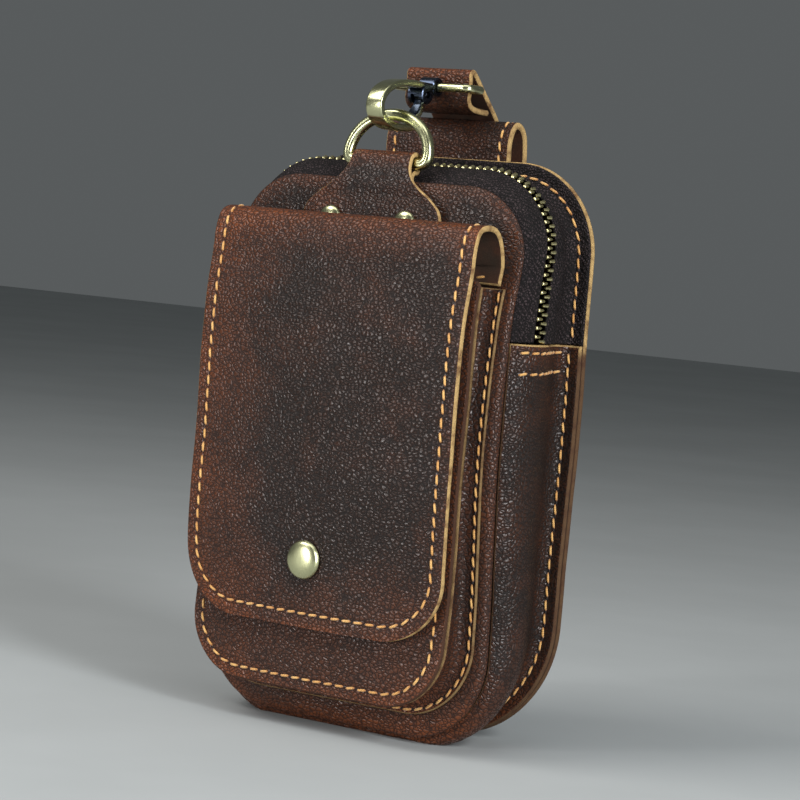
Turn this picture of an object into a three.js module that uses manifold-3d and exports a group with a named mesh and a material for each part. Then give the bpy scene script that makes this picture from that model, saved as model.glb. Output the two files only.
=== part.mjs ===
// Leather belt bag: a zipped body, a flapped front pocket with a snap, a ring tab with a D-ring,
// a spring-gate hook on its wire ring and strap, and a belt loop behind.
// Millimetres. +Z is up, -Y is the front, and the origin is the middle of the flat bottom it stands on.

import * as THREE from "three";
import { mergeVertices } from "three/addons/utils/BufferGeometryUtils.js";
import Module from "manifold-3d";

const wasm = await Module();
wasm.setup();

// Leather, tape and running room
const hide = 1.8;
const thinHide = 1.5;
const strapHide = 2.2;
const tapeThickness = 0.9;
const clearance = 0.3;
const restingGap = 0.45;

// Bag body
const bagWidth = 118;
const bagHeight = 180.6;
const backTopRadius = 28;
const backBottomRadius = 38;
const backFace = 18.9;
const backBow = 1.2;
const bodyDepth = 33.2;
const frontSideInset = 4.8;
const frontTopDrop = 9;
const frontBottomLift = 2;
const frontTopRadius = 22;
const frontBottomRadius = 27;
const panelPuff = 5;
const panelCrown = 1.5;
const crownMargin = 20;
const wallBulge = 3.2;
const flangeWidth = 6.6;
const flangeTurn = 1.5;
const zipEnd = 125.5;

// Zip
const chainThickness = 1.6;
const chainGap = 0.6;
const toothPitch = 2.7;
const toothRelief = 0.7;
const sliderLength = 11;
const sliderWidth = 8.6;
const sliderHeight = 2.4;
const pullLength = 20;
const pullWidth = 5;

// Front pocket
const pocketSideMargin = 5.8;
const pocketBottom = 12.6;
const pocketDrop = 16.4;
const pocketBottomRadius = 20.4;
const pocketTopRadius = 2;
const pocketReach = 12.8;
const pocketCrown = 4.2;
const pocketFlange = 3.1;
const pocketNeck = 2.4;

// Flap
const flapOverhang = 1.1;
const flapBottom = 33;
const flapCornerRadius = 20.8;
const flapReach = 22;
const foldDrop = 20.6;
const foldHeight = 12;
const flapSeam = 5.9;

// Snap and rivets
const snapHeight = 54;
const capRadius = 6;
const capDome = 2.3;
const snapPost = 1.5;
const socketRadius = 4.4;
const studRadius = 1.8;
const rivetSpacing = 28.4;
const rivetDrop = 1.4;
const rivetRadius = 4;
const rivetDome = 2;
const rivetPost = 1.2;
const rivetFlat = 0.8;

// Ring tab and D-ring
const ringBarDrop = 3.6;
const ringBarDepth = -10.5;
const ringWire = 1.85;
const ringRadius = 15.1;
const ringCorner = 2.6;
const ringLean = 8;
const tabTopHalf = 12.6;
const tabBaseHalf = 27;
const tabTuck = 6.5;
const tabStep = 3;
const tabFlatDrop = 5;
const tabEdgeDrop = 1;
const tabRearInset = 2.6;
const tabWrapStart = -95;
const tabWrapEnd = 195;

// Hook, its gate and its wire ring
const hookWidth = 6;
const hookBand = 2.2;
const hookLength = 23.2;
const hookSlack = 0.9;
const eyeDepth = 9.6;
const eyeRise = 8.9;
const eyeRadius = 3;
const linkWire = 1.4;
const linkHalf = 14.4;
const linkCorner = 2.2;
const linkBack = 17.4;
const pivotBack = 5.4;
const pivotDrop = 2.9;
const bossRadius = 3;
const knuckleRadius = 2;
const knuckleWidth = 2.6;
const gateWidth = 4.4;
const gateThickness = 1.8;
const gatePin = 0.8;
const gateTipBack = 0.4;

// Hook strap and belt loop
const strapWidth = 25;
const strapRise = 15.2;
const strapReach = 21;
const strapTail = 34;
const loopWidth = 48;
const loopRise = 12.6;
const loopDepth = 11;
const loopBottom = 84;

// The side seam's depth and the front panel's swell, up the bag
const bodyRows = [
  { height: 0, depth: 0.88, puff: 0.85 },
  { height: 0.14, depth: 0.87, puff: 1 },
  { height: 0.25, depth: 0.885, puff: 1 },
  { height: 0.36, depth: 0.94, puff: 1 },
  { height: 0.58, depth: 1, puff: 1 },
  { height: 0.72, depth: 0.95, puff: 0.8 },
  { height: 0.83, depth: 0.88, puff: 0.58 },
  { height: 1, depth: 0.86, puff: 0.5 },
];

// The back panel's bow, up the bag
const backRows = [
  { height: 0, bow: -1 },
  { height: 0.5, bow: 0.5 },
  { height: 1, bow: 0 },
];

// The front panel's rolled edge, from under its seam inwards: its outer face, and then its inner face
const rollRows = [
  { inset: 1.1, rise: 0.05, inside: 1.9, depth: 0 },
  { inset: 0.2, rise: 0.28, inside: 1.95, depth: 0.4 },
  { inset: 0, rise: 0.5, inside: 2, depth: 0.65 },
  { inset: 0.9, rise: 0.76, inside: 2.7, depth: 0.85 },
  { inset: 3.2, rise: 0.91, inside: 4.2, depth: 0.95 },
  { inset: 10, rise: 1, inside: 10.3, depth: 1 },
  { inset: 26, rise: 1, inside: 26, depth: 1 },
  { inset: 40, rise: 1, inside: 40, depth: 1 },
];

// The leather gusset's section, from the front seam over the bulge into the neck
const gussetRows = [
  { along: 0, out: -0.35, over: -0.35 },
  { along: 0.05, out: 0.15, over: 0.75 },
  { along: 0.14, out: 0.7, over: 1 },
  { along: 0.3, out: 0.85, over: 1 },
  { along: 0.5, out: 0.1, over: 0.6 },
  { along: 0.7, out: -0.95, over: -0.6 },
  { along: 0.88, out: -1.8, over: -1.9 },
];

// The zip tape's section at the sides and over the top
const zipRows = [
  { along: 0, out: -0.35, over: -0.35 },
  { along: 0.1, out: 0, over: 0.5 },
  { along: 0.24, out: 0.15, over: 1 },
  { along: 0.48, out: 0, over: 0.65 },
  { along: 0.6, out: -0.35, over: -0.05 },
  { along: 0.75, out: -1.15, over: -1.25 },
  { along: 0.89, out: -1.75, over: -2.05 },
];
const frontTapeRows = zipRows.slice(0, 3);
const rearTapeRows = zipRows.slice(3);

// The pocket face, up the pocket: its depth at the edge and how far its middle stands out
const pocketRows = [
  { height: 0, reach: 1.08, crown: 0.35 },
  { height: 0.14, reach: 1.08, crown: 0.75 },
  { height: 0.3, reach: 1, crown: 1 },
  { height: 0.75, reach: 1, crown: 1 },
  { height: 0.9, reach: 0.95, crown: 0.9 },
  { height: 1, reach: 0.84, crown: 0.8 },
];

// The flap's front layer, up from its bottom edge: depth at its sides and at its middle
const flapRows = [
  { height: 0, side: 0.79, middle: 0.94 },
  { height: 0.1, side: 0.81, middle: 0.97 },
  { height: 0.2, side: 0.85, middle: 0.99 },
  { height: 0.42, side: 0.87, middle: 1.01 },
  { height: 0.6, side: 0.895, middle: 0.99 },
  { height: 0.77, side: 0.85, middle: 0.95 },
  { height: 0.9, side: 0.77, middle: 0.88 },
  { height: 1, side: 0.73, middle: 0.83 },
];

// The flap's fold, from the layer on the front panel over to the front layer: how far across it is in the
// middle, where it clears the ring tab, and at its ends
const foldRows = [
  { across: 0.1, end: 0.02, up: 0.15 },
  { across: 0.19, end: 0.06, up: 0.36 },
  { across: 0.26, end: 0.12, up: 0.58 },
  { across: 0.33, end: 0.2, up: 0.78 },
  { across: 0.42, end: 0.31, up: 0.93 },
  { across: 0.54, end: 0.46, up: 1 },
  { across: 0.68, end: 0.63, up: 1 },
  { across: 0.8, end: 0.78, up: 0.94 },
  { across: 0.89, end: 0.89, up: 0.8 },
  { across: 0.95, end: 0.95, up: 0.58 },
  { across: 0.985, end: 0.985, up: 0.34 },
  { across: 1, end: 1, up: 0.14 },
];

// The ring tab's flare, from its base to the bar
const tabRows = [
  { height: 0, flare: 1 },
  { height: 0.22, flare: 0.98 },
  { height: 0.4, flare: 0.88 },
  { height: 0.52, flare: 0.68 },
  { height: 0.66, flare: 0.36 },
  { height: 0.8, flare: 0.12 },
  { height: 0.95, flare: 0 },
  { height: 1.2, flare: 0 },
];

// The belt loop's profile above the bag and behind it
const loopRows = [
  { back: 0, up: -0.92 },
  { back: 0, up: -0.5 },
  { back: 0, up: -0.17 },
  { back: -0.03, up: -0.1 },
  { back: -0.03, up: -0.06 },
  { back: 0.08, up: -0.025 },
  { back: 0.26, up: -0.004 },
  { back: 0.47, up: 0 },
  { back: 0.7, up: -0.01 },
  { back: 0.88, up: -0.035 },
  { back: 0.97, up: -0.08 },
  { back: 1, up: -0.2 },
  { back: 1, up: -0.5 },
  { back: 0.93, up: -0.72 },
  { back: 0.7, up: -0.83 },
  { back: 0.5, up: -0.9 },
  { back: 0.44, up: -0.95 },
  { back: 0.44, up: -1 },
];

// The hook strap's profile over the belt loop, from where it leaves the loop's back to its inner end
const strapRows = [
  { reach: 0, rise: -0.42 },
  { reach: 0.06, rise: -0.18 },
  { reach: 0.17, rise: 0.07 },
  { reach: 0.38, rise: 0.36 },
  { reach: 0.64, rise: 0.7 },
  { reach: 0.8, rise: 0.91 },
  { reach: 0.87, rise: 0.985 },
  { reach: 0.93, rise: 1 },
  { reach: 0.985, rise: 0.965 },
  { reach: 1.015, rise: 0.89 },
  { reach: 1.01, rise: 0.77 },
  { reach: 1.005, rise: 0.56 },
  { reach: 1.02, rise: 0.36 },
  { reach: 0.95, rise: 0.2 },
  { reach: 0.82, rise: 0.125 },
  { reach: 0.62, rise: 0.1 },
  { reach: 0.46, rise: 0.09 },
];

// The hook's bent band, from its eye over the top and back along the bottom
const hookRows = [
  { back: 1.15, up: 0.98 },
  { back: 0.98, up: 0.99 },
  { back: 0.78, up: 1 },
  { back: 0.5, up: 0.99 },
  { back: 0.24, up: 0.89 },
  { back: 0.06, up: 0.69 },
  { back: 0, up: 0.44 },
  { back: 0.06, up: 0.2 },
  { back: 0.24, up: 0.045 },
  { back: 0.47, up: 0 },
  { back: 0.67, up: 0.015 },
  { back: 0.79, up: 0.06 },
];

// The gate's arm, from its knuckle to its tip
const gateRows = [
  { back: 0, up: 0, width: knuckleWidth },
  { back: 0.02, up: 0.2, width: knuckleWidth },
  { back: 0.08, up: 0.42, width: knuckleWidth },
  { back: 0.17, up: 0.54, width: gateWidth },
  { back: 0.5, up: 0.79, width: gateWidth },
  { back: 1, up: 1, width: gateWidth },
];

const frontHalf = bagWidth / 2 - frontSideInset;
const seamDepth = backFace - bodyDepth;
const foldTop = bagHeight - foldDrop;
const pocketTop = foldTop - pocketDrop;
const tabBase = foldTop - tabTuck;
const ringBarHeight = bagHeight - ringBarDrop;
const ringTop = ringBarHeight + ringRadius * Math.cos(THREE.MathUtils.degToRad(ringLean));
const loopTop = bagHeight + loopRise;
const eyeHeight = loopTop + eyeRise;
const hookHeight = eyeHeight - ringTop + ringWire + hookBand / 2 + hookSlack;
const backShape = {
  halfWidth: bagWidth / 2,
  top: bagHeight,
  bottom: 0,
  topRadius: backTopRadius,
  bottomRadius: backBottomRadius,
};
const frontShape = {
  halfWidth: frontHalf,
  top: bagHeight - frontTopDrop,
  bottom: frontBottomLift,
  topRadius: frontTopRadius,
  bottomRadius: frontBottomRadius,
};
const pocketShape = {
  halfWidth: frontHalf - pocketSideMargin,
  top: pocketTop,
  bottom: pocketBottom,
  topRadius: pocketTopRadius,
  bottomRadius: pocketBottomRadius,
};
const pocketMiddle = (pocketTop + pocketBottom) / 2;
const rivetHeight = foldTop - rivetDrop;
const tabFold = ringWire + clearance + thinHide;
const pivotDepth = eyeDepth - pivotBack;
const pivotHeight = eyeHeight - pivotDrop;
const strapBack = backFace + hide + restingGap + loopDepth + restingGap + hide;
const flapHalf = pocketShape.halfWidth + flapOverhang;
const faceRows = rollRows.slice(2);
const backInsets = [0, 30];
const pocketInsets = [0, 3, 9, 22, 41];
const bodyCounts = { side: 4, lower: 5, corner: 6, topCorner: 6, flat: 3 };
const pocketCounts = { side: 4, lower: 6, corner: 5, topCorner: 1, flat: 4 };

// Reads a column of a table at a place along another column, on a smooth curve through the rows
function read(rows, along, column, place) {
  const last = rows.length - 1;
  if (place <= rows[0][along]) return rows[0][column];
  if (place >= rows[last][along]) return rows[last][column];
  const i = rows.findIndex((row, k) => k < last && place < rows[k + 1][along]);
  const slope = (a, b) => (rows[b][column] - rows[a][column]) / (rows[b][along] - rows[a][along]);
  const span = rows[i + 1][along] - rows[i][along];
  const t = (place - rows[i][along]) / span;
  const here = i === 0 ? slope(0, 1) : slope(i - 1, i + 1);
  const next = i + 2 > last ? slope(i, i + 1) : slope(i, i + 2);
  const rise = rows[i + 1][column] - rows[i][column];
  const ease = 3 * t * t - 2 * t * t * t;
  const bend = t * (1 - t) * ((1 - t) * here - t * next) * span;
  return rows[i][column] + rise * ease + bend;
}

// Half of a rounded outline, from the right side at one height round to the left side at that height.
// Each station has its place and the outward direction there.
function run(shape, inset, cutHeight, end, counts) {
  const halfWidth = shape.halfWidth - inset;
  const edge = end > 0 ? shape.top - inset : shape.bottom + inset;
  const corner = end > 0 ? shape.topRadius : shape.bottomRadius;
  const radius = Math.max(corner - inset, 2);
  const arcHeight = edge - end * radius;
  const sideSteps = end > 0 ? counts.side : counts.lower;
  const cornerSteps = end > 0 ? counts.topCorner : counts.corner;
  const right = [];
  for (let i = 0; i < sideSteps; i++) {
    const z = THREE.MathUtils.lerp(cutHeight, arcHeight, i / sideSteps);
    right.push({ x: halfWidth, z, outX: 1, outZ: 0 });
  }
  for (let i = 0; i < cornerSteps; i++) {
    const angle = (Math.PI / 2) * (i / cornerSteps);
    const outX = Math.cos(angle);
    const outZ = end * Math.sin(angle);
    right.push({ x: halfWidth - radius + radius * outX, z: arcHeight + radius * outZ, outX, outZ });
  }
  const flat = [];
  for (let i = 0; i <= counts.flat; i++) {
    flat.push({ x: (halfWidth - radius) * (1 - (2 * i) / counts.flat), z: edge, outX: 0, outZ: end });
  }
  const left = right.map(({ x, z, outX, outZ }) => ({ x: -x, z, outX: -outX, outZ })).reverse();
  return [...right, ...flat, ...left];
}

// The whole rounded outline as one ring of points
function ring(shape, inset, cutHeight, counts) {
  const upper = run(shape, inset, cutHeight, 1, counts);
  const lower = run(shape, inset, cutHeight, -1, counts).reverse();
  return [...upper.slice(0, -1), ...lower.slice(0, -1)];
}

// How far a point lies inside a rounded outline
function insetOf(shape, x, z) {
  const upper = z > (shape.top + shape.bottom) / 2;
  const radius = upper ? shape.topRadius : shape.bottomRadius;
  const acrossX = Math.abs(x) - (shape.halfWidth - radius);
  const acrossZ = upper ? z - (shape.top - radius) : shape.bottom + radius - z;
  const outside = Math.hypot(Math.max(acrossX, 0), Math.max(acrossZ, 0));
  return radius - outside - Math.min(Math.max(acrossX, acrossZ), 0);
}

// Depth of the seam between the front panel and the gusset or the zip
function seamAt(z) {
  return backFace - bodyDepth * read(bodyRows, "height", "depth", z / bagHeight);
}

// Depth of the back panel's front face
function backAt(z) {
  return backFace + backBow * read(backRows, "height", "bow", z / bagHeight);
}

// Depth of the front panel's outer face at a point, with its rise over the seam
function swell(x, z, inset, rise) {
  const puff = panelPuff * read(bodyRows, "height", "puff", z / bagHeight) * rise;
  const middle = 1 - (x / frontShape.halfWidth) ** 2;
  const crown = panelCrown * middle * Math.min(Math.max(inset, 0) / crownMargin, 1);
  return seamAt(z) - puff - crown;
}

function frontAt(x, z) {
  const inset = insetOf(frontShape, x, z);
  return swell(x, z, inset, read(faceRows, "inset", "rise", inset));
}

// Depth of the pocket face's front
function pocketAt(x, z) {
  const height = (z - pocketBottom) / (pocketTop - pocketBottom);
  const edge = seamDepth - pocketReach * read(pocketRows, "height", "reach", height);
  const middle = 1 - Math.min(Math.abs(x) / pocketShape.halfWidth, 1) ** 2;
  return edge - pocketCrown * read(pocketRows, "height", "crown", height) * middle;
}

// Depth of the flap's front layer
function flapAt(x, z) {
  const height = (z - flapBottom) / (foldTop - flapBottom);
  const side = read(flapRows, "height", "side", height);
  const middle = read(flapRows, "height", "middle", height);
  const share = 1 - Math.min(Math.abs(x) / flapHalf, 1) ** 2;
  return seamDepth - flapReach * THREE.MathUtils.lerp(side, middle, share);
}

// A closed mesh from points and triangles, turned so that its faces point out
function closedGeometry(points, triangles) {
  let volume = 0;
  for (const [a, b, c] of triangles) {
    volume += points[a].dot(new THREE.Vector3().crossVectors(points[b], points[c]));
  }
  const index = triangles.flatMap(([a, b, c]) => (volume < 0 ? [a, c, b] : [a, b, c]));
  const geometry = new THREE.BufferGeometry();
  geometry.setAttribute("position", new THREE.Float32BufferAttribute(points.flatMap((p) => p.toArray()), 3));
  geometry.setIndex(index);
  return geometry;
}

// A solid through loops that have the same number of points, closed on itself or capped at both ends
function loft(loops, closed = false, caps = capTriangles) {
  const size = loops[0].length;
  const points = loops.flat();
  const triangles = [];
  const pairs = closed ? loops.length : loops.length - 1;
  for (let i = 0; i < pairs; i++) {
    const next = ((i + 1) % loops.length) * size;
    for (let j = 0; j < size; j++) {
      const k = (j + 1) % size;
      triangles.push([i * size + j, i * size + k, next + k]);
      triangles.push([i * size + j, next + k, next + j]);
    }
  }
  if (!closed) {
    for (const [loop, start, flip] of [[loops[0], 0, true], [loops.at(-1), points.length - size, false]]) {
      for (const [a, b, c] of caps(loop)) {
        triangles.push(flip ? [start + a, start + c, start + b] : [start + a, start + b, start + c]);
      }
    }
  }
  return closedGeometry(points, triangles);
}

// Triangles over a loop, seen along its own normal
function capTriangles(loop) {
  const normal = new THREE.Vector3();
  loop.forEach((p, i) => normal.add(new THREE.Vector3().crossVectors(p, loop[(i + 1) % loop.length])));
  normal.normalize();
  const side = new THREE.Vector3(normal.z, normal.x, normal.y).cross(normal).normalize();
  const up = new THREE.Vector3().crossVectors(normal, side);
  const flat = loop.map((p) => new THREE.Vector2(p.dot(side), p.dot(up)));
  return THREE.ShapeUtils.triangulateShape(flat, []);
}

// Triangles over a loop whose left side mirrors its right side, as rungs from one side to the other
function rungs(loop) {
  const count = loop.length;
  const near = 1e-3;
  const higher = (a, b) => loop[a].z > loop[b].z + near || (loop[a].z > loop[b].z - near && loop[a].x > loop[b].x);
  const left = loop.map((_, i) => i).filter((i) => loop[i].x < near);
  const top = left.reduce((best, i) => (higher(i, best) ? i : best));
  const shift = loop[top].x > -near ? 0 : 1;
  const onLeft = (i) => (top + i) % count;
  const onRight = (i) => (top - shift - i + 2 * count) % count;
  const triangles = [];
  for (let i = 0; i < count / 2; i++) {
    triangles.push([onLeft(i), onLeft(i + 1), onRight(i + 1)]);
    triangles.push([onLeft(i), onRight(i + 1), onRight(i)]);
  }
  return triangles.filter(([a, b, c]) => a !== b && b !== c && a !== c);
}

// A grid of points moved along its own normals; sign picks the side
function offsetGrid(grid, distance, wrap) {
  const rows = grid.length;
  const columns = grid[0].length;
  return grid.map((row, i) =>
    row.map((point, j) => {
      const before = wrap ? (j + columns - 1) % columns : Math.max(j - 1, 0);
      const after = wrap ? (j + 1) % columns : Math.min(j + 1, columns - 1);
      const across = grid[i][after].clone().sub(grid[i][before]);
      const along = grid[Math.min(i + 1, rows - 1)][j].clone().sub(grid[Math.max(i - 1, 0)][j]);
      const normal = across.cross(along).normalize();
      return point.clone().addScaledVector(normal, distance);
    })
  );
}

// A strip of leather or tape: the grid is its outer face, and side says where its thickness goes
function strip(grid, thickness, side) {
  const inner = offsetGrid(grid, thickness * side, false);
  return loft(grid.map((row, i) => [...row, ...inner[i].slice().reverse()]));
}

// A whole panel: rings from its edge inwards for its outer face, and the same for its inner face
function panel(outer, inner) {
  const middle = rungs(outer.at(-1));
  return loft([...outer.slice().reverse(), ...inner], false, () => middle);
}

// A bar bent along points in a plane: the section's first axis lies in the plane, its second along the normal
function bend(points, planeNormal, section, closed = false) {
  const count = points.length;
  const loops = points.map((point, i) => {
    const before = closed ? points[(i + count - 1) % count] : points[Math.max(i - 1, 0)];
    const after = closed ? points[(i + 1) % count] : points[Math.min(i + 1, count - 1)];
    const tangent = after.clone().sub(before).normalize();
    const inPlane = new THREE.Vector3().crossVectors(tangent, planeNormal);
    const shape = typeof section === "function" ? section(i / (count - 1)) : section;
    return shape.map(([a, b]) => point.clone().addScaledVector(inPlane, a).addScaledVector(planeNormal, b));
  });
  return loft(loops, closed);
}

const roundSection = (radius, sides) =>
  Array.from({ length: sides }, (_, i) => {
    const angle = (2 * Math.PI * (i + 0.5)) / sides;
    return [radius * Math.cos(angle), radius * Math.sin(angle)];
  });

const flatSection = (thickness, width, chamfer = 0.35) => {
  const t = thickness / 2;
  const w = width / 2;
  return [
    [t, -w + chamfer], [t, w - chamfer], [t - chamfer, w], [-t + chamfer, w],
    [-t, w - chamfer], [-t, -w + chamfer], [-t + chamfer, -w], [t - chamfer, -w],
  ];
};

// Points on a smooth curve through others
function smooth(points, count, closed = false) {
  return new THREE.CatmullRomCurve3(points, closed, "centripetal").getPoints(count);
}

// Cutting and joining
function toSolid(geometry) {
  const bare = geometry.clone();
  bare.deleteAttribute("normal");
  bare.deleteAttribute("uv");
  const merged = mergeVertices(bare, 1e-4);
  return new wasm.Manifold(new wasm.Mesh({
    numProp: 3,
    vertProperties: new Float32Array(merged.attributes.position.array),
    triVerts: new Uint32Array(merged.index.array),
  }));
}

function toGeometry(solid) {
  const mesh = solid.getMesh();
  const geometry = new THREE.BufferGeometry();
  geometry.setAttribute("position", new THREE.BufferAttribute(new Float32Array(mesh.vertProperties), 3));
  geometry.setIndex(new THREE.BufferAttribute(new Uint32Array(mesh.triVerts), 1));
  return geometry;
}

function cut(geometry, tools) {
  return toGeometry(tools.reduce((solid, tool) => solid.subtract(toSolid(tool)), toSolid(geometry)));
}

function join(geometries) {
  return toGeometry(geometries.map(toSolid).reduce((all, next) => all.add(next)));
}

// A turned part along Y from a closed profile of [radius, depth] points, placed on an axis
function turned(profile, x, z, sides = 12) {
  const closed = [...profile, profile[0]].map(([radius, depth]) => new THREE.Vector2(radius, depth));
  return new THREE.LatheGeometry(closed, sides).translate(x, 0, z);
}

// A round bar along Y between two depths
function borer(radius, from, to, x, z) {
  return new THREE.CylinderGeometry(radius, radius, to - from, 16).translate(x, (from + to) / 2, z);
}

// A round bar along X, centred at a depth and height
function crossBar(radius, width, y, z, sides = 12) {
  return new THREE.CylinderGeometry(radius, radius, width, sides).rotateZ(Math.PI / 2).translate(0, y, z);
}

const place = (x, y, z) => new THREE.Vector3(x, y, z);

// The outer face of the wall round the bag, a row of points for each station of the run: from the
// front seam over the section's rows, and then over the flange that lies on the back panel
function wallGrid(end, cutHeight, rows, thickness, flanged) {
  const front = run(frontShape, 0, cutHeight, end, bodyCounts);
  const back = run(backShape, 0, cutHeight, end, bodyCounts);
  const foot = run(backShape, flangeWidth - flangeTurn, cutHeight, end, bodyCounts);
  const edge = run(backShape, clearance, cutHeight, end, bodyCounts);
  return front.map((station, i) => {
    const seam = seamAt(station.z) + clearance / 2;
    const onPanel = backAt(back[i].z) - clearance - thickness;
    const points = rows.map(({ along, out, over }) => {
      const bulge = wallBulge * THREE.MathUtils.lerp(out, over, Math.abs(station.outZ));
      const x = THREE.MathUtils.lerp(station.x, back[i].x, along) + station.outX * bulge;
      const z = THREE.MathUtils.lerp(station.z, back[i].z, along) + station.outZ * bulge;
      return place(x, THREE.MathUtils.lerp(seam, onPanel, along), Math.max(z, 0));
    });
    if (flanged) {
      points.push(place(foot[i].x, onPanel - clearance / 2, foot[i].z));
      points.push(place(edge[i].x, onPanel, Math.max(edge[i].z, 0)));
    }
    return points;
  });
}

// Bag body
function backPanel() {
  const rings = backInsets.map((inset) =>
    ring(backShape, inset, zipEnd, bodyCounts).map(({ x, z }) => place(x, backAt(z), z))
  );
  return panel(rings, offsetGrid(rings, -hide, true));
}

function frontPanel() {
  const outer = rollRows.map(({ inset, rise }, i) =>
    ring(frontShape, inset, zipEnd, bodyCounts).map(({ x, z }) =>
      place(x, swell(x, z, i > 1 ? inset : 0, rise) - clearance / 2, z)
    )
  );
  const inner = rollRows.map(({ inside, depth }) =>
    ring(frontShape, inside, zipEnd, bodyCounts).map(({ x, z }, j) => {
      const edge = outer[0][j].y;
      const face = Math.min(swell(x, z, inside, 1) - clearance / 2 + hide, edge);
      return place(x, THREE.MathUtils.lerp(edge, face, depth), z);
    })
  );
  return cut(panel(outer, inner), rivetHoles());
}

function gusset() {
  return strip(wallGrid(-1, zipEnd, gussetRows, hide, true), hide, 1);
}

// Zip
function zipTape(rows, flanged) {
  return strip(wallGrid(1, zipEnd + clearance, rows, tapeThickness, flanged), tapeThickness, -1);
}

// The row of teeth between the two tapes, as a ridged bar with one ridge for each tooth
function zipTeeth() {
  const rows = wallGrid(1, zipEnd + clearance, zipRows, tapeThickness, false);
  const edges = [frontTapeRows.length - 1, frontTapeRows.length].map((column) =>
    new THREE.CatmullRomCurve3(rows.map((row) => row[column]))
  );
  const usable = edges[0].getLength() - sliderLength - clearance;
  const teeth = Math.floor(usable / toothPitch);
  const loops = [];
  for (let i = 0; i <= 2 * teeth; i++) {
    const share = (i * toothPitch) / 2 / edges[0].getLength();
    const [front, rear] = edges.map((edge) => edge.getPointAt(share));
    const across = rear.clone().sub(front);
    const width = across.length();
    across.normalize();
    const outward = new THREE.Vector3().crossVectors(across, edges[0].getTangentAt(share)).normalize();
    const top = i % 2 ? toothRelief : toothRelief / 3;
    const corner = (side, lift) =>
      front.clone().addScaledVector(across, side).addScaledVector(outward, lift);
    loops.push([
      corner(chainGap, top - toothRelief),
      corner(width - chainGap, top - toothRelief),
      corner(width - chainGap, -chainThickness),
      corner(chainGap, -chainThickness),
    ]);
  }
  return loft(loops);
}

// The slider at the hidden left end of the zip, one plain piece with its pull hanging down
function zipSlider() {
  const rows = wallGrid(1, zipEnd + clearance, zipRows, tapeThickness, false);
  const column = frontTapeRows.length;
  const foot = rows.at(-1)[column - 1].clone().add(rows.at(-1)[column]).multiplyScalar(0.5);
  const seat = foot.x - restingGap - sliderHeight / 2;
  const body = new THREE.BoxGeometry(sliderHeight, sliderWidth, sliderLength);
  body.translate(seat, foot.y, foot.z + sliderLength / 2);
  const bail = new THREE.BoxGeometry(sliderHeight, pullWidth / 2, sliderLength / 2);
  bail.translate(seat - sliderHeight / 2, foot.y, foot.z + sliderLength / 2);
  const pull = new THREE.BoxGeometry(sliderHeight / 2, pullWidth, pullLength);
  pull.translate(seat - 1.2 * sliderHeight, foot.y, foot.z + sliderLength / 2 - pullLength / 2);
  return join([body, bail, pull]);
}

// Front pocket
function pocketFace() {
  const rings = pocketInsets.map((inset) =>
    ring(pocketShape, inset, pocketMiddle, pocketCounts).map(({ x, z }) => place(x, pocketAt(x, z), z))
  );
  return cut(panel(rings, offsetGrid(rings, -hide, true)), [snapHole()]);
}

// The pocket's wall, from behind the face's edge through its neck to the flange on the front panel
function pocketWall() {
  const top = pocketTop - pocketTopRadius;
  const neck = run(pocketShape, pocketNeck, top, -1, pocketCounts);
  const foot = run(pocketShape, pocketNeck / 2, top, -1, pocketCounts);
  const flange = run(pocketShape, -pocketFlange, top, -1, pocketCounts);
  const grid = run(pocketShape, clearance, top, -1, pocketCounts).map(({ x, z }, i) => {
    const front = pocketAt(x, z) + hide + restingGap;
    const footPoint = place(foot[i].x, frontAt(foot[i].x, foot[i].z) - restingGap - thinHide, foot[i].z);
    const flangePoint = place(flange[i].x, frontAt(flange[i].x, flange[i].z) - restingGap - thinHide, flange[i].z);
    const neckDepth = (share) => THREE.MathUtils.lerp(front, footPoint.y, share);
    return [
      place(x, front, z),
      place(x, neckDepth(0.12), z),
      place(THREE.MathUtils.lerp(x, neck[i].x, 0.75), neckDepth(0.42), THREE.MathUtils.lerp(z, neck[i].z, 0.75)),
      place(neck[i].x, neckDepth(0.75), neck[i].z),
      footPoint,
      flangePoint,
    ];
  });
  return strip(grid, thinHide, 1);
}

// The flap: one layer on the front panel, the fold, and the front layer with its round corners
function flap() {
  const backEnd = foldTop - foldHeight - flapSeam;
  const foldBase = foldTop - foldHeight;
  const columns = 10;
  const grid = [];
  const addRow = (half, at) => {
    grid.push(Array.from({ length: columns + 1 }, (_, j) => at(half * ((2 * j) / columns - 1))));
  };
  const layerBehind = (x, z) => frontAt(x, z) - restingGap;
  for (const z of [backEnd, backEnd + flapSeam / 2, foldBase]) {
    addRow(flapHalf, (x) => place(x, layerBehind(x, z), z));
  }
  for (const { across, end, up } of foldRows) {
    const z = foldBase + foldHeight * up;
    addRow(flapHalf, (x) => {
      const share = THREE.MathUtils.lerp(across, end, THREE.MathUtils.smoothstep(Math.abs(x), tabBaseHalf, flapHalf));
      return place(x, THREE.MathUtils.lerp(layerBehind(x, foldBase), flapAt(x, foldBase), share), z);
    });
  }
  const cornerTop = flapBottom + flapCornerRadius;
  const steps = 8;
  for (let i = 0; i < steps; i++) {
    const z = THREE.MathUtils.lerp(foldBase, cornerTop, i / steps);
    addRow(flapHalf, (x) => place(x, flapAt(x, z), z));
  }
  const cornerSteps = 6;
  for (let i = 0; i <= cornerSteps; i++) {
    const angle = (Math.PI / 2) * (i / cornerSteps);
    const z = cornerTop - flapCornerRadius * Math.sin(angle);
    addRow(flapHalf - flapCornerRadius * (1 - Math.cos(angle)), (x) => place(x, flapAt(x, z), z));
  }
  return cut(strip(grid, hide, 1), [snapHole()]);
}

// Snap: the domed cap is one turned piece with its post and the socket behind the flap
function snapHole() {
  return borer(snapPost + clearance, seamDepth - 3 * flapReach, backFace, 0, snapHeight);
}

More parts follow.
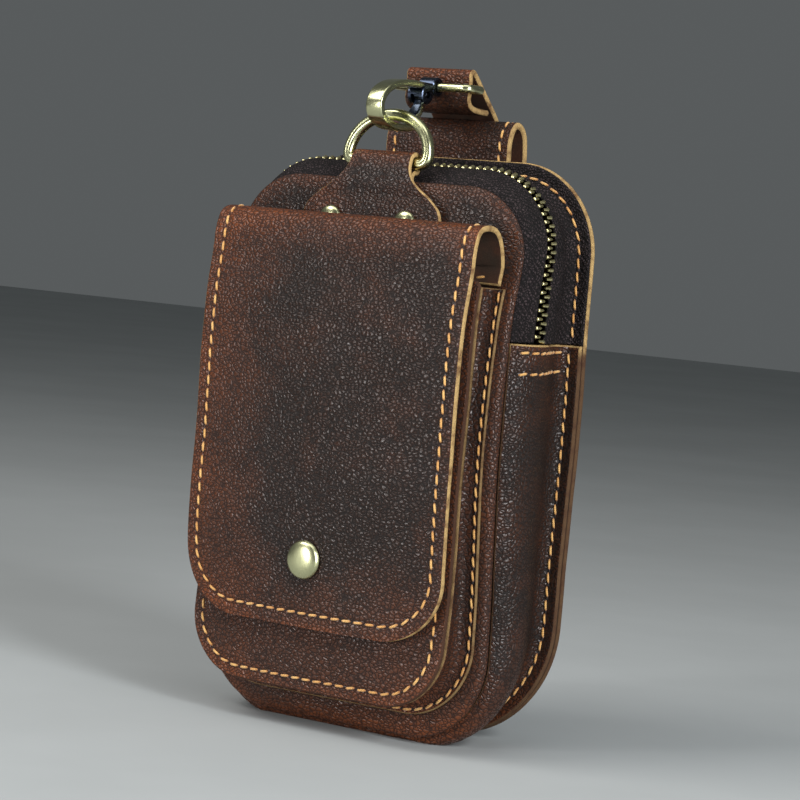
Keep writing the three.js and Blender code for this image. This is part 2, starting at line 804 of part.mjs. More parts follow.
// How deep the socket is, so that it ends just short of the stud's flange on the pocket
function socketDepth() {
  const room = pocketAt(0, snapHeight) - flapAt(0, snapHeight) - hide;
  return room - rivetFlat - 3 * clearance;
}

function snapCap() {
  const face = flapAt(0, snapHeight) - clearance;
  const behind = flapAt(0, snapHeight) + hide + clearance;
  const depth = socketDepth();
  const profile = [
    [0, face - capDome],
    [capRadius * 0.5, face - capDome * 0.87],
    [capRadius * 0.86, face - capDome * 0.5],
    [capRadius, face - capDome * 0.12],
    [capRadius * 0.96, face],
    [snapPost, face],
    [snapPost, behind],
    [socketRadius, behind],
    [socketRadius, behind + depth],
    [studRadius + clearance, behind + depth],
    [studRadius + clearance, behind + depth / 2],
    [0, behind + depth / 2],
  ];
  return turned(profile, 0, snapHeight);
}

function snapStud() {
  const face = pocketAt(0, snapHeight) - clearance;
  const inside = pocketAt(0, snapHeight) + hide + clearance;
  const tip = flapAt(0, snapHeight) + hide + clearance + socketDepth() / 2 + clearance;
  const profile = [
    [0, tip],
    [studRadius, tip],
    [studRadius, face - rivetFlat],
    [socketRadius, face - rivetFlat],
    [socketRadius, face],
    [snapPost, face],
    [snapPost, inside],
    [socketRadius, inside],
    [socketRadius, inside + rivetFlat],
    [0, inside + rivetFlat],
  ];
  return turned(profile, 0, snapHeight);
}

// Ring tab: two layers on the front panel, folded over the D-ring's bar
function tabHalfAt(z) {
  const share = (z - tabBase) / (ringBarHeight - tabBase);
  return THREE.MathUtils.lerp(tabTopHalf, tabBaseHalf, read(tabRows, "height", "flare", share));
}

function tabLayer(x, z, layer) {
  return frontAt(x, z) - restingGap - layer * (2 * thinHide + clearance);
}

function ringTab() {
  const columns = 6;
  const grid = [];
  const addRow = (z, depthAt, inset = 0) => {
    const half = tabHalfAt(z) - inset;
    grid.push(Array.from({ length: columns + 1 }, (_, j) => {
      const x = half * ((2 * j) / columns - 1);
      return place(x, depthAt(x), z);
    }));
  };
  const flatTop = frontShape.top - tabFlatDrop;
  const edge = frontShape.top - tabEdgeDrop;
  const flatSteps = 4;
  for (let i = 0; i <= flatSteps; i++) {
    const z = THREE.MathUtils.lerp(tabBase + tabStep, flatTop, i / flatSteps);
    addRow(z, (x) => tabLayer(x, z, 0), tabRearInset);
  }
  addRow(edge, (x) => tabLayer(x, flatTop, 0), tabRearInset);
  const wrapSteps = 10;
  for (let i = 0; i <= wrapSteps; i++) {
    const angle = THREE.MathUtils.degToRad(THREE.MathUtils.lerp(tabWrapStart, tabWrapEnd, i / wrapSteps));
    const inset = tabRearInset * (1 - i / wrapSteps);
    addRow(ringBarHeight + tabFold * Math.sin(angle), () => ringBarDepth + tabFold * Math.cos(angle), inset);
  }
  const frontSteps = 5;
  for (let i = 0; i <= frontSteps; i++) {
    const z = THREE.MathUtils.lerp(edge, tabBase, i / frontSteps);
    addRow(z, (x) => tabLayer(x, Math.min(z, flatTop), 1));
  }
  return cut(strip(grid, thinHide, 1), rivetHoles());
}

function rivetHoles() {
  return [-1, 1].map((side) =>
    borer(rivetPost + clearance, seamDepth - flapReach, backFace / 2, (side * rivetSpacing) / 2, rivetHeight)
  );
}

function tabRivet(side) {
  const x = (side * rivetSpacing) / 2;
  const face = Math.min(tabLayer(x, rivetHeight, 1), tabLayer(x, rivetHeight - rivetRadius, 1)) - clearance;
  const inside = frontAt(x, rivetHeight) + hide + restingGap;
  const profile = [
    [0, face - rivetDome],
    [rivetRadius * 0.55, face - rivetDome * 0.85],
    [rivetRadius * 0.9, face - rivetDome * 0.4],
    [rivetRadius, face],
    [rivetPost, face],
    [rivetPost, inside],
    [rivetRadius * 0.8, inside],
    [rivetRadius * 0.8, inside + rivetFlat],
    [0, inside + rivetFlat],
  ];
  return turned(profile, x, rivetHeight);
}

// D-ring: a bar in the tab's fold and a round bow over it, leaning back a little
function dRing() {
  const lean = THREE.MathUtils.degToRad(ringLean);
  const points = [];
  const add = (x, up) => {
    points.push(place(x, ringBarDepth + up * Math.sin(lean), ringBarHeight + up * Math.cos(lean)));
  };
  const barEnd = ringRadius - ringCorner;
  const barSteps = 4;
  for (let i = 0; i <= barSteps; i++) add(barEnd * ((2 * i) / barSteps - 1), 0);
  const cornerSteps = 3;
  for (let i = 1; i <= cornerSteps; i++) {
    const angle = (Math.PI / 2) * (i / cornerSteps);
    add(barEnd + ringCorner * Math.sin(angle), ringCorner * (1 - Math.cos(angle)));
  }
  const bowSteps = 14;
  for (let i = 1; i < bowSteps; i++) {
    const angle = Math.PI * (i / bowSteps);
    add(ringRadius * Math.cos(angle), ringCorner + (ringRadius - ringCorner) * Math.sin(angle));
  }
  for (let i = cornerSteps; i >= 1; i--) {
    const angle = (Math.PI / 2) * (i / cornerSteps);
    add(-barEnd - ringCorner * Math.sin(angle), ringCorner * (1 - Math.cos(angle)));
  }
  const normal = place(0, -Math.cos(lean), Math.sin(lean));
  return bend(points, normal, roundSection(ringWire, 8), true);
}

// Hook: a bent band with the boss of its gate and the eye on the wire ring's front bar
function hookPoint(back, up) {
  return place(0, pivotDepth - hookLength * (1 - back), eyeHeight - hookHeight * (1 - up));
}

function hookBody() {
  const centre = smooth(hookRows.map(({ back, up }) => hookPoint(back, up)), 20);
  const band = bend(centre, place(1, 0, 0), flatSection(hookBand, hookWidth));
  const boss = crossBar(bossRadius, hookWidth, pivotDepth, pivotHeight);
  const eye = crossBar(eyeRadius, hookWidth, eyeDepth, eyeHeight);
  const slotWidth = knuckleWidth + 2 * clearance;
  const slot = crossBar(knuckleRadius + restingGap, slotWidth, pivotDepth, pivotHeight);
  const way = new THREE.BoxGeometry(slotWidth, 3 * bossRadius, 2 * bossRadius);
  way.translate(0, pivotDepth - bossRadius / 2, pivotHeight - bossRadius);
  const pinHole = crossBar(gatePin + clearance, 2 * hookWidth, pivotDepth, pivotHeight);
  const bore = crossBar(linkWire + restingGap, 2 * hookWidth, eyeDepth, eyeHeight);
  return cut(join([band, boss, eye]), [slot, way, pinHole, bore]);
}

// The sprung gate: a knuckle on its pin and an arm down to the hook's open end
function hookGate() {
  const tip = hookPoint(hookRows.at(-1).back, hookRows.at(-1).up);
  tip.y += gateTipBack;
  tip.z += hookBand / 2 + clearance + gateThickness / 2;
  const centre = gateRows.map(({ back, up }) =>
    place(0, THREE.MathUtils.lerp(pivotDepth, tip.y, back), THREE.MathUtils.lerp(pivotHeight, tip.z, up))
  );
  const widths = gateRows.map(({ width }) => width);
  const arm = bend(centre, place(1, 0, 0), (share) =>
    flatSection(gateThickness, widths[Math.round(share * (widths.length - 1))], 0.25)
  );
  const knuckle = crossBar(knuckleRadius, knuckleWidth, pivotDepth, pivotHeight);
  const pin = crossBar(gatePin, hookWidth - 2 * clearance, pivotDepth, pivotHeight, 10);
  return join([arm, knuckle, pin]);
}

// The wire ring that joins the hook to its strap
function hookRing() {
  const half = (linkBack - eyeDepth) / 2;
  const points = [];
  const cornerSteps = 3;
  for (const [sideX, sideY, turn] of [[1, 1, 0], [-1, 1, 1], [-1, -1, 2], [1, -1, 3]]) {
    for (let i = 0; i <= cornerSteps; i++) {
      const angle = (Math.PI / 2) * (turn + i / cornerSteps);
      points.push(place(
        sideX * (linkHalf - linkCorner) + linkCorner * Math.cos(angle),
        eyeDepth + half + sideY * (half - linkCorner) + linkCorner * Math.sin(angle),
        eyeHeight
      ));
    }
  }
  return bend(points, place(0, 0, 1), roundSection(linkWire, 8), true);
}

// A strap of even width through profile points in the YZ plane, given as its outer side
function strap(profile, width, thickness, side) {
  const grid = profile.map(({ y, z }) => [place(-width / 2, y, z), place(width / 2, y, z)]);
  return strip(grid, thickness, side);
}

function beltLoop() {
  const height = loopTop - loopBottom;
  const profile = loopRows.map(({ back, up }) => {
    const z = loopTop + height * up;
    return place(0, backAt(Math.min(z, bagHeight)) + hide + restingGap + loopDepth * back, z);
  });
  return strap(smooth(profile, 36), loopWidth, strapHide, -1);
}

function hookStrap() {
  const profile = strapRows.map(({ reach, rise }) =>
    place(0, strapBack - strapReach * reach, loopTop + strapRise * rise)
  );
  profile.unshift(place(0, strapBack, loopTop - strapTail));
  return strap(smooth(profile, 36), strapWidth, hide, 1);
}

// Materials
const finish = (color, roughness, metalness) => new THREE.MeshStandardMaterial({ color, roughness, metalness });
const leather = finish(0x4a2a1f, 0.5, 0);
const tape = finish(0x2a2024, 0.9, 0);
const brass = finish(0xa9a578, 0.3, 1);

const pieces = [
  ["back_panel", backPanel(), leather],
  ["front_panel", frontPanel(), leather],
  ["gusset", gusset(), leather],
  ["zip_tape_front", zipTape(frontTapeRows, false), tape],
  ["zip_tape_rear", zipTape(rearTapeRows, true), tape],
  ["zip_teeth", zipTeeth(), brass],
  ["zip_slider", zipSlider(), brass],
  ["pocket_face", pocketFace(), leather],
  ["pocket_wall", pocketWall(), leather],
  ["flap", flap(), leather],
  ["snap_cap", snapCap(), brass],
  ["snap_stud", snapStud(), brass],
  ["ring_tab", ringTab(), leather],
  ["tab_rivet_left", tabRivet(-1), brass],
  ["tab_rivet_right", tabRivet(1), brass],
  ["d_ring", dRing(), brass],
  ["hook_body", hookBody(), brass],
  ["hook_gate", hookGate(), brass],
  ["hook_ring", hookRing(), brass],
  ["hook_strap", hookStrap(), leather],
  ["belt_loop", beltLoop(), leather],
];

const bag = new THREE.Group();
for (const [name, geometry, material] of pieces) {
  geometry.computeVertexNormals();
  const mesh = new THREE.Mesh(geometry, material);
  mesh.name = name;
  bag.add(mesh);
}

export default bag;
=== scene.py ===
# Leather belt bag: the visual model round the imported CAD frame.
# Sizes are in millimetres, and every mesh is made in metres. +Z is up and -Y is the flap's front.

import math
import random

import bpy
import numpy as np
from mathutils import Matrix, Vector, noise

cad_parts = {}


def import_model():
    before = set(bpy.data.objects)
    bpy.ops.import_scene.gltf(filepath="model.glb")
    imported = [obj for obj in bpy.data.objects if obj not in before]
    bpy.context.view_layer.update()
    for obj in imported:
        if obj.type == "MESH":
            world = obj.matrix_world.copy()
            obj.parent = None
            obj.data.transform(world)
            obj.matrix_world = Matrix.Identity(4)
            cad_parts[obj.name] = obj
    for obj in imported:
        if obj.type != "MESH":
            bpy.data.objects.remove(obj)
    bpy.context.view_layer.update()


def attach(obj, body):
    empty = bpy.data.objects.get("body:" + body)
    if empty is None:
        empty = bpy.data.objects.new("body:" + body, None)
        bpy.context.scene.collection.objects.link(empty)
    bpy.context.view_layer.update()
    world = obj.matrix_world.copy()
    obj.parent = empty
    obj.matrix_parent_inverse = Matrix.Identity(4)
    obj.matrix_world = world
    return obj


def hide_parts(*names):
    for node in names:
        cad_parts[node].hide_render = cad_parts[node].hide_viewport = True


METRES = 0.001

# Leather, tape and running room
hide = 1.8
thin_hide = 1.5
strap_hide = 2.2
tape_thickness = 0.9
clearance = 0.3
resting_gap = 0.45

# Bag body
bag_width = 118
bag_height = 180.6
back_top_radius = 28
back_bottom_radius = 38
back_face = 18.9
back_bow = 1.2
body_depth = 33.2
front_side_inset = 4.8
front_top_drop = 9
front_bottom_lift = 2
front_top_radius = 22
front_bottom_radius = 27
panel_puff = 5
panel_crown = 1.5
crown_margin = 20
wall_bulge = 3.2
flange_width = 6.6
flange_turn = 1.5
zip_end = 125.5

# Zip
chain_gap = 0.6
tooth_pitch = 2.7
tooth_relief = 0.7
slider_length = 11
slider_width = 8.6
slider_height = 2.4
pull_length = 20
pull_width = 5

# Front pocket
pocket_side_margin = 5.8
pocket_bottom = 12.6
pocket_top = 143.6
pocket_bottom_radius = 20.4
pocket_top_radius = 2
pocket_reach = 12.8
pocket_crown = 4.2
pocket_flange = 3.1
pocket_neck = 2.4

# Flap
flap_overhang = 1.1
flap_bottom = 33
flap_corner_radius = 20.8
flap_reach = 22
fold_top = 160
fold_height = 12
flap_seam = 5.9

# Snap and rivets
snap_height = 54
cap_radius = 6
cap_dome = 2.3
snap_post = 1.5
socket_radius = 4.4
socket_depth = 1.4
stud_radius = 1.8
rivet_spacing = 28.4
rivet_drop = 1.4
rivet_radius = 4
rivet_dome = 2
rivet_post = 1.2
rivet_flat = 0.8

# Ring tab and D-ring
ring_bar_height = 177
ring_bar_depth = -10.5
ring_wire = 1.85
ring_radius = 15.1
ring_corner = 2.6
ring_lean = 8
tab_top_half = 12.6
tab_base_half = 27
tab_base = 153.5
tab_step = 3
tab_flat_drop = 5
tab_edge_drop = 1
tab_rear_inset = 2.6
tab_wrap = (-95, 195)

# Hook, its gate and its wire ring
hook_width = 6
hook_band = 2.2
hook_length = 23.2
hook_height = 14
eye_depth = 9.6
eye_height = 202.1
eye_radius = 3
link_wire = 1.4
link_half = 14.4
link_corner = 2.2
link_back = 17.4
pivot_back = 5.4
pivot_drop = 2.9
boss_radius = 3
knuckle_radius = 2
knuckle_width = 2.6
gate_width = 4.4
gate_thickness = 1.8
gate_pin = 0.8
gate_tip_back = 0.4
hub_reach = 5
hub_fade = 1.2

# Hook strap and belt loop
strap_width = 25
strap_rise = 15.2
strap_reach = 21
strap_tail = 34
loop_width = 48
loop_top = 193.2
loop_depth = 11
loop_bottom = 84

# Thread
stitch_pitch = 4.2
stitch_share = 0.8
thread_radius = 0.36
flap_seam_inset = 4.4
pocket_seam_inset = 3.9
back_seam_inset = 4.3
wall_seam_inset = 1.5
loop_seam_half = 20.5
gusset_rows = (122.3, 116.5)
seam_sink = 0.28
seam_width = 1.1


def table(names, *rows):
    """A table with named columns"""
    return {name: np.array(column, float) for name, column in zip(names.split(), zip(*rows))}


# The side seam's depth and the front panel's swell, up the bag
body_rows = table(
    "height depth puff",
    (0, 0.88, 0.85), (0.14, 0.87, 1), (0.25, 0.885, 1), (0.36, 0.94, 1),
    (0.58, 1, 1), (0.72, 0.95, 0.8), (0.83, 0.88, 0.58), (1, 0.86, 0.5),
)

# The back panel's bow, up the bag
back_rows = table("height bow", (0, -1), (0.5, 0.5), (1, 0))

# The front panel's rolled edge, from under its seam inwards
roll_rows = table(
    "inset rise",
    (1.1, 0.05), (0.2, 0.28), (0, 0.5), (0.9, 0.76), (3.2, 0.91), (10, 1), (26, 1), (40, 1),
)
face_rows = {name: column[2:] for name, column in roll_rows.items()}

# The leather gusset's section, from the front seam over the bulge into the neck
gusset_section = table(
    "along out over",
    (0, -0.35, -0.35), (0.05, 0.15, 0.75), (0.14, 0.7, 1), (0.3, 0.85, 1),
    (0.5, 0.1, 0.6), (0.7, -0.95, -0.6), (0.88, -1.8, -1.9),
)

# The zip tape's section at the sides and over the top
zip_section = table(
    "along out over",
    (0, -0.35, -0.35), (0.1, 0, 0.5), (0.28, 0.15, 0.99), (0.44, 0.05, 0.78),
    (0.6, -0.35, -0.05), (0.75, -1.15, -1.25), (0.89, -1.75, -2.05),
)
front_tape_rows = slice(0, 3)
rear_tape_rows = slice(3, 7)

# The pocket face, up the pocket: its depth at the edge and how far its middle stands out
pocket_rows = table(
    "height reach crown",
    (0, 1.08, 0.35), (0.14, 1.08, 0.75), (0.3, 1, 1), (0.75, 1, 1), (0.9, 0.95, 0.9), (1, 0.84, 0.8),
)

# The flap's front layer, up from its bottom edge: depth at its sides and at its middle
flap_rows = table(
    "height side middle",
    (0, 0.79, 0.94), (0.1, 0.81, 0.97), (0.2, 0.85, 0.99), (0.42, 0.87, 1.01),
    (0.6, 0.895, 0.99), (0.77, 0.85, 0.95), (0.9, 0.77, 0.88), (1, 0.73, 0.83),
)

# The flap's fold, from the layer on the front panel over to the front layer: how far across it is in the
# middle, where it clears the ring tab, and at its ends
fold_rows = table(
    "across end up",
    (0, 0, 0), (0.1, 0.02, 0.15), (0.19, 0.06, 0.36), (0.26, 0.12, 0.58), (0.33, 0.2, 0.78),
    (0.42, 0.31, 0.93), (0.54, 0.46, 1), (0.68, 0.63, 1), (0.8, 0.78, 0.94), (0.89, 0.89, 0.8),
    (0.95, 0.95, 0.58), (0.985, 0.985, 0.34), (1, 1, 0.14), (1, 1, 0),
)

# The ring tab's flare, from its base to the bar
tab_rows = table(
    "height flare",
    (0, 1), (0.22, 0.98), (0.4, 0.88), (0.52, 0.68), (0.66, 0.36), (0.8, 0.12), (0.95, 0), (1.2, 0),
)

# The belt loop's profile above the bag and behind it
loop_rows = table(
    "back up",
    (0, -0.92), (0, -0.5), (0, -0.17), (-0.03, -0.1), (-0.03, -0.06), (0.08, -0.025),
    (0.26, -0.004), (0.47, 0), (0.7, -0.01), (0.88, -0.035), (0.97, -0.08), (1, -0.2), (1, -0.5),
    (0.93, -0.72), (0.7, -0.83), (0.5, -0.9), (0.44, -0.95), (0.44, -1),
)

# The hook strap's profile over the belt loop, from where it leaves the loop's back to its inner end
strap_rows = table(
    "reach rise",
    (0, -0.42), (0.06, -0.18), (0.17, 0.07), (0.38, 0.36), (0.64, 0.7), (0.8, 0.91),
    (0.87, 0.985), (0.93, 1), (0.985, 0.965), (1.015, 0.89), (1.01, 0.77), (1.005, 0.56),
    (1.02, 0.36), (0.95, 0.2), (0.82, 0.125), (0.62, 0.1), (0.46, 0.09),
)

# The hook's bent band, from its eye over the top and back along the bottom
hook_rows = table(
    "back up",
    (1.15, 0.98), (0.98, 0.99), (0.78, 1), (0.5, 0.99), (0.24, 0.89), (0.06, 0.69), (0, 0.44),
    (0.06, 0.2), (0.24, 0.045), (0.47, 0), (0.67, 0.015), (0.79, 0.06),
)

# The gate's arm, from its knuckle to its tip
gate_rows = table(
    "back up width",
    (0, 0, 2.6), (0.02, 0.2, 2.6), (0.08, 0.42, 3.6), (0.17, 0.54, 4.4), (0.5, 0.79, 4.4), (1, 1, 4.4),
)

front_half = bag_width / 2 - front_side_inset
seam_depth = back_face - body_depth
back_shape = dict(
    half=bag_width / 2, top=bag_height, bottom=0,
    top_radius=back_top_radius, bottom_radius=back_bottom_radius,
)
front_shape = dict(
    half=front_half, top=bag_height - front_top_drop, bottom=front_bottom_lift,
    top_radius=front_top_radius, bottom_radius=front_bottom_radius,
)
pocket_shape = dict(
    half=front_half - pocket_side_margin, top=pocket_top, bottom=pocket_bottom,
    top_radius=pocket_top_radius, bottom_radius=pocket_bottom_radius,
)
pocket_middle = (pocket_top + pocket_bottom) / 2
flap_half = pocket_shape["half"] + flap_overhang
rivet_height = fold_top - rivet_drop
tab_fold = ring_wire + clearance + thin_hide
pivot_depth = eye_depth - pivot_back
pivot_height = eye_height - pivot_drop
strap_back = back_face + hide + resting_gap + loop_depth + resting_gap + hide
body_counts = dict(side=46, lower=74, corner=44, top_corner=36, flat=44)
pocket_counts = dict(side=50, lower=50, corner=30, top_corner=8, flat=60)


def read(rows, along, column, place):
    """Reads a column of a table at a place along another column, on a smooth curve through the rows"""
    xs, ys = rows[along], rows[column]
    slopes = np.empty(len(xs))
    slopes[1:-1] = (ys[2:] - ys[:-2]) / (xs[2:] - xs[:-2])
    slopes[0] = (ys[1] - ys[0]) / (xs[1] - xs[0])
    slopes[-1] = (ys[-1] - ys[-2]) / (xs[-1] - xs[-2])
    place = np.clip(place, xs[0], xs[-1])
    i = np.clip(np.searchsorted(xs, place, side="right") - 1, 0, len(xs) - 2)
    span = xs[i + 1] - xs[i]
    t = (place - xs[i]) / span
    ease = 3 * t**2 - 2 * t**3
    bend = t * (1 - t) * ((1 - t) * slopes[i] - t * slopes[i + 1]) * span
    return ys[i] + (ys[i + 1] - ys[i]) * ease + bend


def run(shape, inset, cut_height, end, counts):
    """Half of a rounded outline, from the right side at one height round to the left side at that height"""
    half = shape["half"] - inset
    edge = shape["top"] - inset if end > 0 else shape["bottom"] + inset
    radius = max((shape["top_radius"] if end > 0 else shape["bottom_radius"]) - inset, 2)
    arc_height = edge - end * radius
    side_steps = counts["side"] if end > 0 else counts["lower"]
    corner_steps = counts["top_corner"] if end > 0 else counts["corner"]
    right = []
    for i in range(side_steps):
        right.append((half, cut_height + (arc_height - cut_height) * i / side_steps, 1, 0))
    for i in range(corner_steps):
        angle = math.pi / 2 * i / corner_steps
        out_x, out_z = math.cos(angle), end * math.sin(angle)
        right.append((half - radius + radius * out_x, arc_height + radius * out_z, out_x, out_z))
    flat = [((half - radius) * (1 - 2 * i / counts["flat"]), edge, 0, end) for i in range(counts["flat"] + 1)]
    left = [(-x, z, -out_x, out_z) for x, z, out_x, out_z in reversed(right)]
    return np.array(right + flat + left)


def ring(shape, inset, cut_height, counts):
    """The whole rounded outline as one ring of stations"""
    upper = run(shape, inset, cut_height, 1, counts)
    lower = run(shape, inset, cut_height, -1, counts)[::-1]
    return np.vstack([upper[:-1], lower[:-1]])


def inset_of(shape, x, z):
    """How far a point lies inside a rounded outline"""
    upper = z > (shape["top"] + shape["bottom"]) / 2
    radius = np.where(upper, shape["top_radius"], shape["bottom_radius"])
    across_x = np.abs(x) - (shape["half"] - radius)
    across_z = np.where(upper, z - (shape["top"] - radius), shape["bottom"] + radius - z)
    outside = np.hypot(np.maximum(across_x, 0), np.maximum(across_z, 0))
    return radius - outside - np.minimum(np.maximum(across_x, across_z), 0)


def seam_at(z):
    """Depth of the seam between the front panel and the gusset or the zip"""
    return back_face - body_depth * read(body_rows, "height", "depth", z / bag_height)


def back_at(z):
    """Depth of the back panel's front face"""
    return back_face + back_bow * read(back_rows, "height", "bow", z / bag_height)


def swell(x, z, inset, rise):
    """Depth of the front panel's outer face at a point, with its rise over the seam"""
    puff = panel_puff * read(body_rows, "height", "puff", z / bag_height) * rise
    middle = 1 - (x / front_half) ** 2
    crown = panel_crown * middle * np.clip(inset / crown_margin, 0, 1)
    return seam_at(z) - puff - crown


def front_at(x, z):
    inset = inset_of(front_shape, x, z)
    return swell(x, z, inset, read(face_rows, "inset", "rise", inset))


def pocket_at(x, z):
    """Depth of the pocket face's front"""
    height = (z - pocket_bottom) / (pocket_top - pocket_bottom)
    edge = seam_depth - pocket_reach * read(pocket_rows, "height", "reach", height)
    middle = 1 - np.minimum(np.abs(x) / pocket_shape["half"], 1) ** 2
    return edge - pocket_crown * read(pocket_rows, "height", "crown", height) * middle


def flap_at(x, z):
    """Depth of the flap's front layer"""
    height = (z - flap_bottom) / (fold_top - flap_bottom)
    side = read(flap_rows, "height", "side", height)
    middle = read(flap_rows, "height", "middle", height)
    share = 1 - np.minimum(np.abs(x) / flap_half, 1) ** 2
    return seam_depth - flap_reach * (side + (middle - side) * share)


def eased(share):
    """A share held between 0 and 1, with a smooth start and end"""
    share = np.clip(share, 0, 1)
    return share**2 * (3 - 2 * share)


def tab_layer(x, z, layer):
    return front_at(x, z) - resting_gap - layer * (2 * thin_hide + clearance)


def tab_half_at(z):
    share = (z - tab_base) / (ring_bar_height - tab_base)
    flare = read(tab_rows, "height", "flare", share)
    return tab_top_half + (tab_base_half - tab_top_half) * flare


def facing(depth_at, x, z):
    """The outward normals of a surface that is given by its depth"""
    step = 0.2
    slope_x = (depth_at(x + step, z) - depth_at(x - step, z)) / (2 * step)
    slope_z = (depth_at(x, z + step) - depth_at(x, z - step)) / (2 * step)
    return unit(np.stack([slope_x, -np.ones_like(slope_x), slope_z], axis=-1))


def points_of(x, y, z):
    """Points from coordinates of any shapes that fit together"""
    return np.stack(np.broadcast_arrays(x, y, z), axis=-1).astype(float)


def unit(vectors):
    length = np.linalg.norm(vectors, axis=-1, keepdims=True)
    return vectors / np.maximum(length, 1e-9)


def smooth(points, count):
    """Points on a smooth curve through others, evenly spaced"""
    points = np.asarray(points, float)
    chords = np.linalg.norm(np.diff(points, axis=0), axis=1)
    knots = np.concatenate([[0], np.cumsum(np.sqrt(chords))])
    tangents = np.gradient(points, knots, axis=0)
    places = np.linspace(0, knots[-1], 8 * count)
    i = np.clip(np.searchsorted(knots, places, side="right") - 1, 0, len(knots) - 2)
    span = (knots[i + 1] - knots[i])[:, None]
    t = (places - knots[i])[:, None] / span
    fine = (
        (2 * t**3 - 3 * t**2 + 1) * points[i]
        + (t**3 - 2 * t**2 + t) * span * tangents[i]
        + (3 * t**2 - 2 * t**3) * points[i + 1]
        + (t**3 - t**2) * span * tangents[i + 1]
    )
    return evenly(fine, count)


def evenly(points, count):
    """The same polyline with evenly spaced points"""
    along = np.concatenate([[0], np.cumsum(np.linalg.norm(np.diff(points, axis=0), axis=1))])
    places = np.linspace(0, along[-1], count)
    return np.stack([np.interp(places, along, points[:, axis]) for axis in range(points.shape[1])], axis=1)


def grid_normals(grid, wrap):
    """A normal for each point of a grid: its columns' direction crossed with its rows'"""
    if wrap:
        across = np.roll(grid, -1, axis=1) - np.roll(grid, 1, axis=1)
    else:
        across = np.gradient(grid, axis=1)
    along = np.gradient(grid, axis=0)
    return unit(np.cross(across, along))


# Every soft piece and seam gets the same gentle unevenness, so layers that touch stay together
def uneven(points):
    moved = points.copy()
    for k, (x, y, z) in enumerate(points):
        broad = noise.noise(Vector((x / 34, y / 60, z / 40)))
        fine = noise.noise(Vector((x / 11 + 7, y / 30, z / 13)))
        fade = min(max((176 - z) / 20, 0), 1) * min(max(z / 8, 0), 1)
        moved[k, 1] += fade * (0.75 * broad + 0.16 * fine)
        moved[k, 0] += fade * 0.45 * noise.noise(Vector((x / 60 + 3, y / 14, z / 30)))
    return moved


def make_object(name, points, faces, kinds, materials, uvs=None, facts=None, smooth_shading=True):
    """An object from points in millimetres, with a material index for each face"""
    mesh = bpy.data.meshes.new(name)
    mesh.from_pydata([tuple(p) for p in np.asarray(points) * METRES], [], faces)
    for material in materials:
        mesh.materials.append(material)
    mesh.polygons.foreach_set("material_index", kinds)
    mesh.polygons.foreach_set("use_smooth", [smooth_shading] * len(faces))
    if uvs is not None:
        layer = mesh.uv_layers.new(name="length")
        loops = np.empty(len(mesh.loops), dtype=np.int32)
        mesh.loops.foreach_get("vertex_index", loops)
        layer.data.foreach_set("uv", (np.asarray(uvs)[loops]).ravel())
    for fact, values in (facts or {}).items():
        attribute = mesh.attributes.new(fact, "FLOAT", "POINT")
        attribute.data.foreach_set("value", np.asarray(values, dtype=np.float32))
    mesh.validate()
    mesh.update()
    made = bpy.data.objects.new(name, mesh)
    bpy.context.scene.collection.objects.link(made)
    return made


def nearest(points, targets):
    """Distance from each point to the nearest of the targets"""
    best = np.full(len(points), np.inf)
    for start in range(0, len(points), 4000):
        block = points[start:start + 4000]
        gaps = np.linalg.norm(block[:, None, :] - targets[None, :, :], axis=2)
        best[start:start + 4000] = gaps.min(axis=1)
    return best


rim_steps = 5
rim_share = 0.3


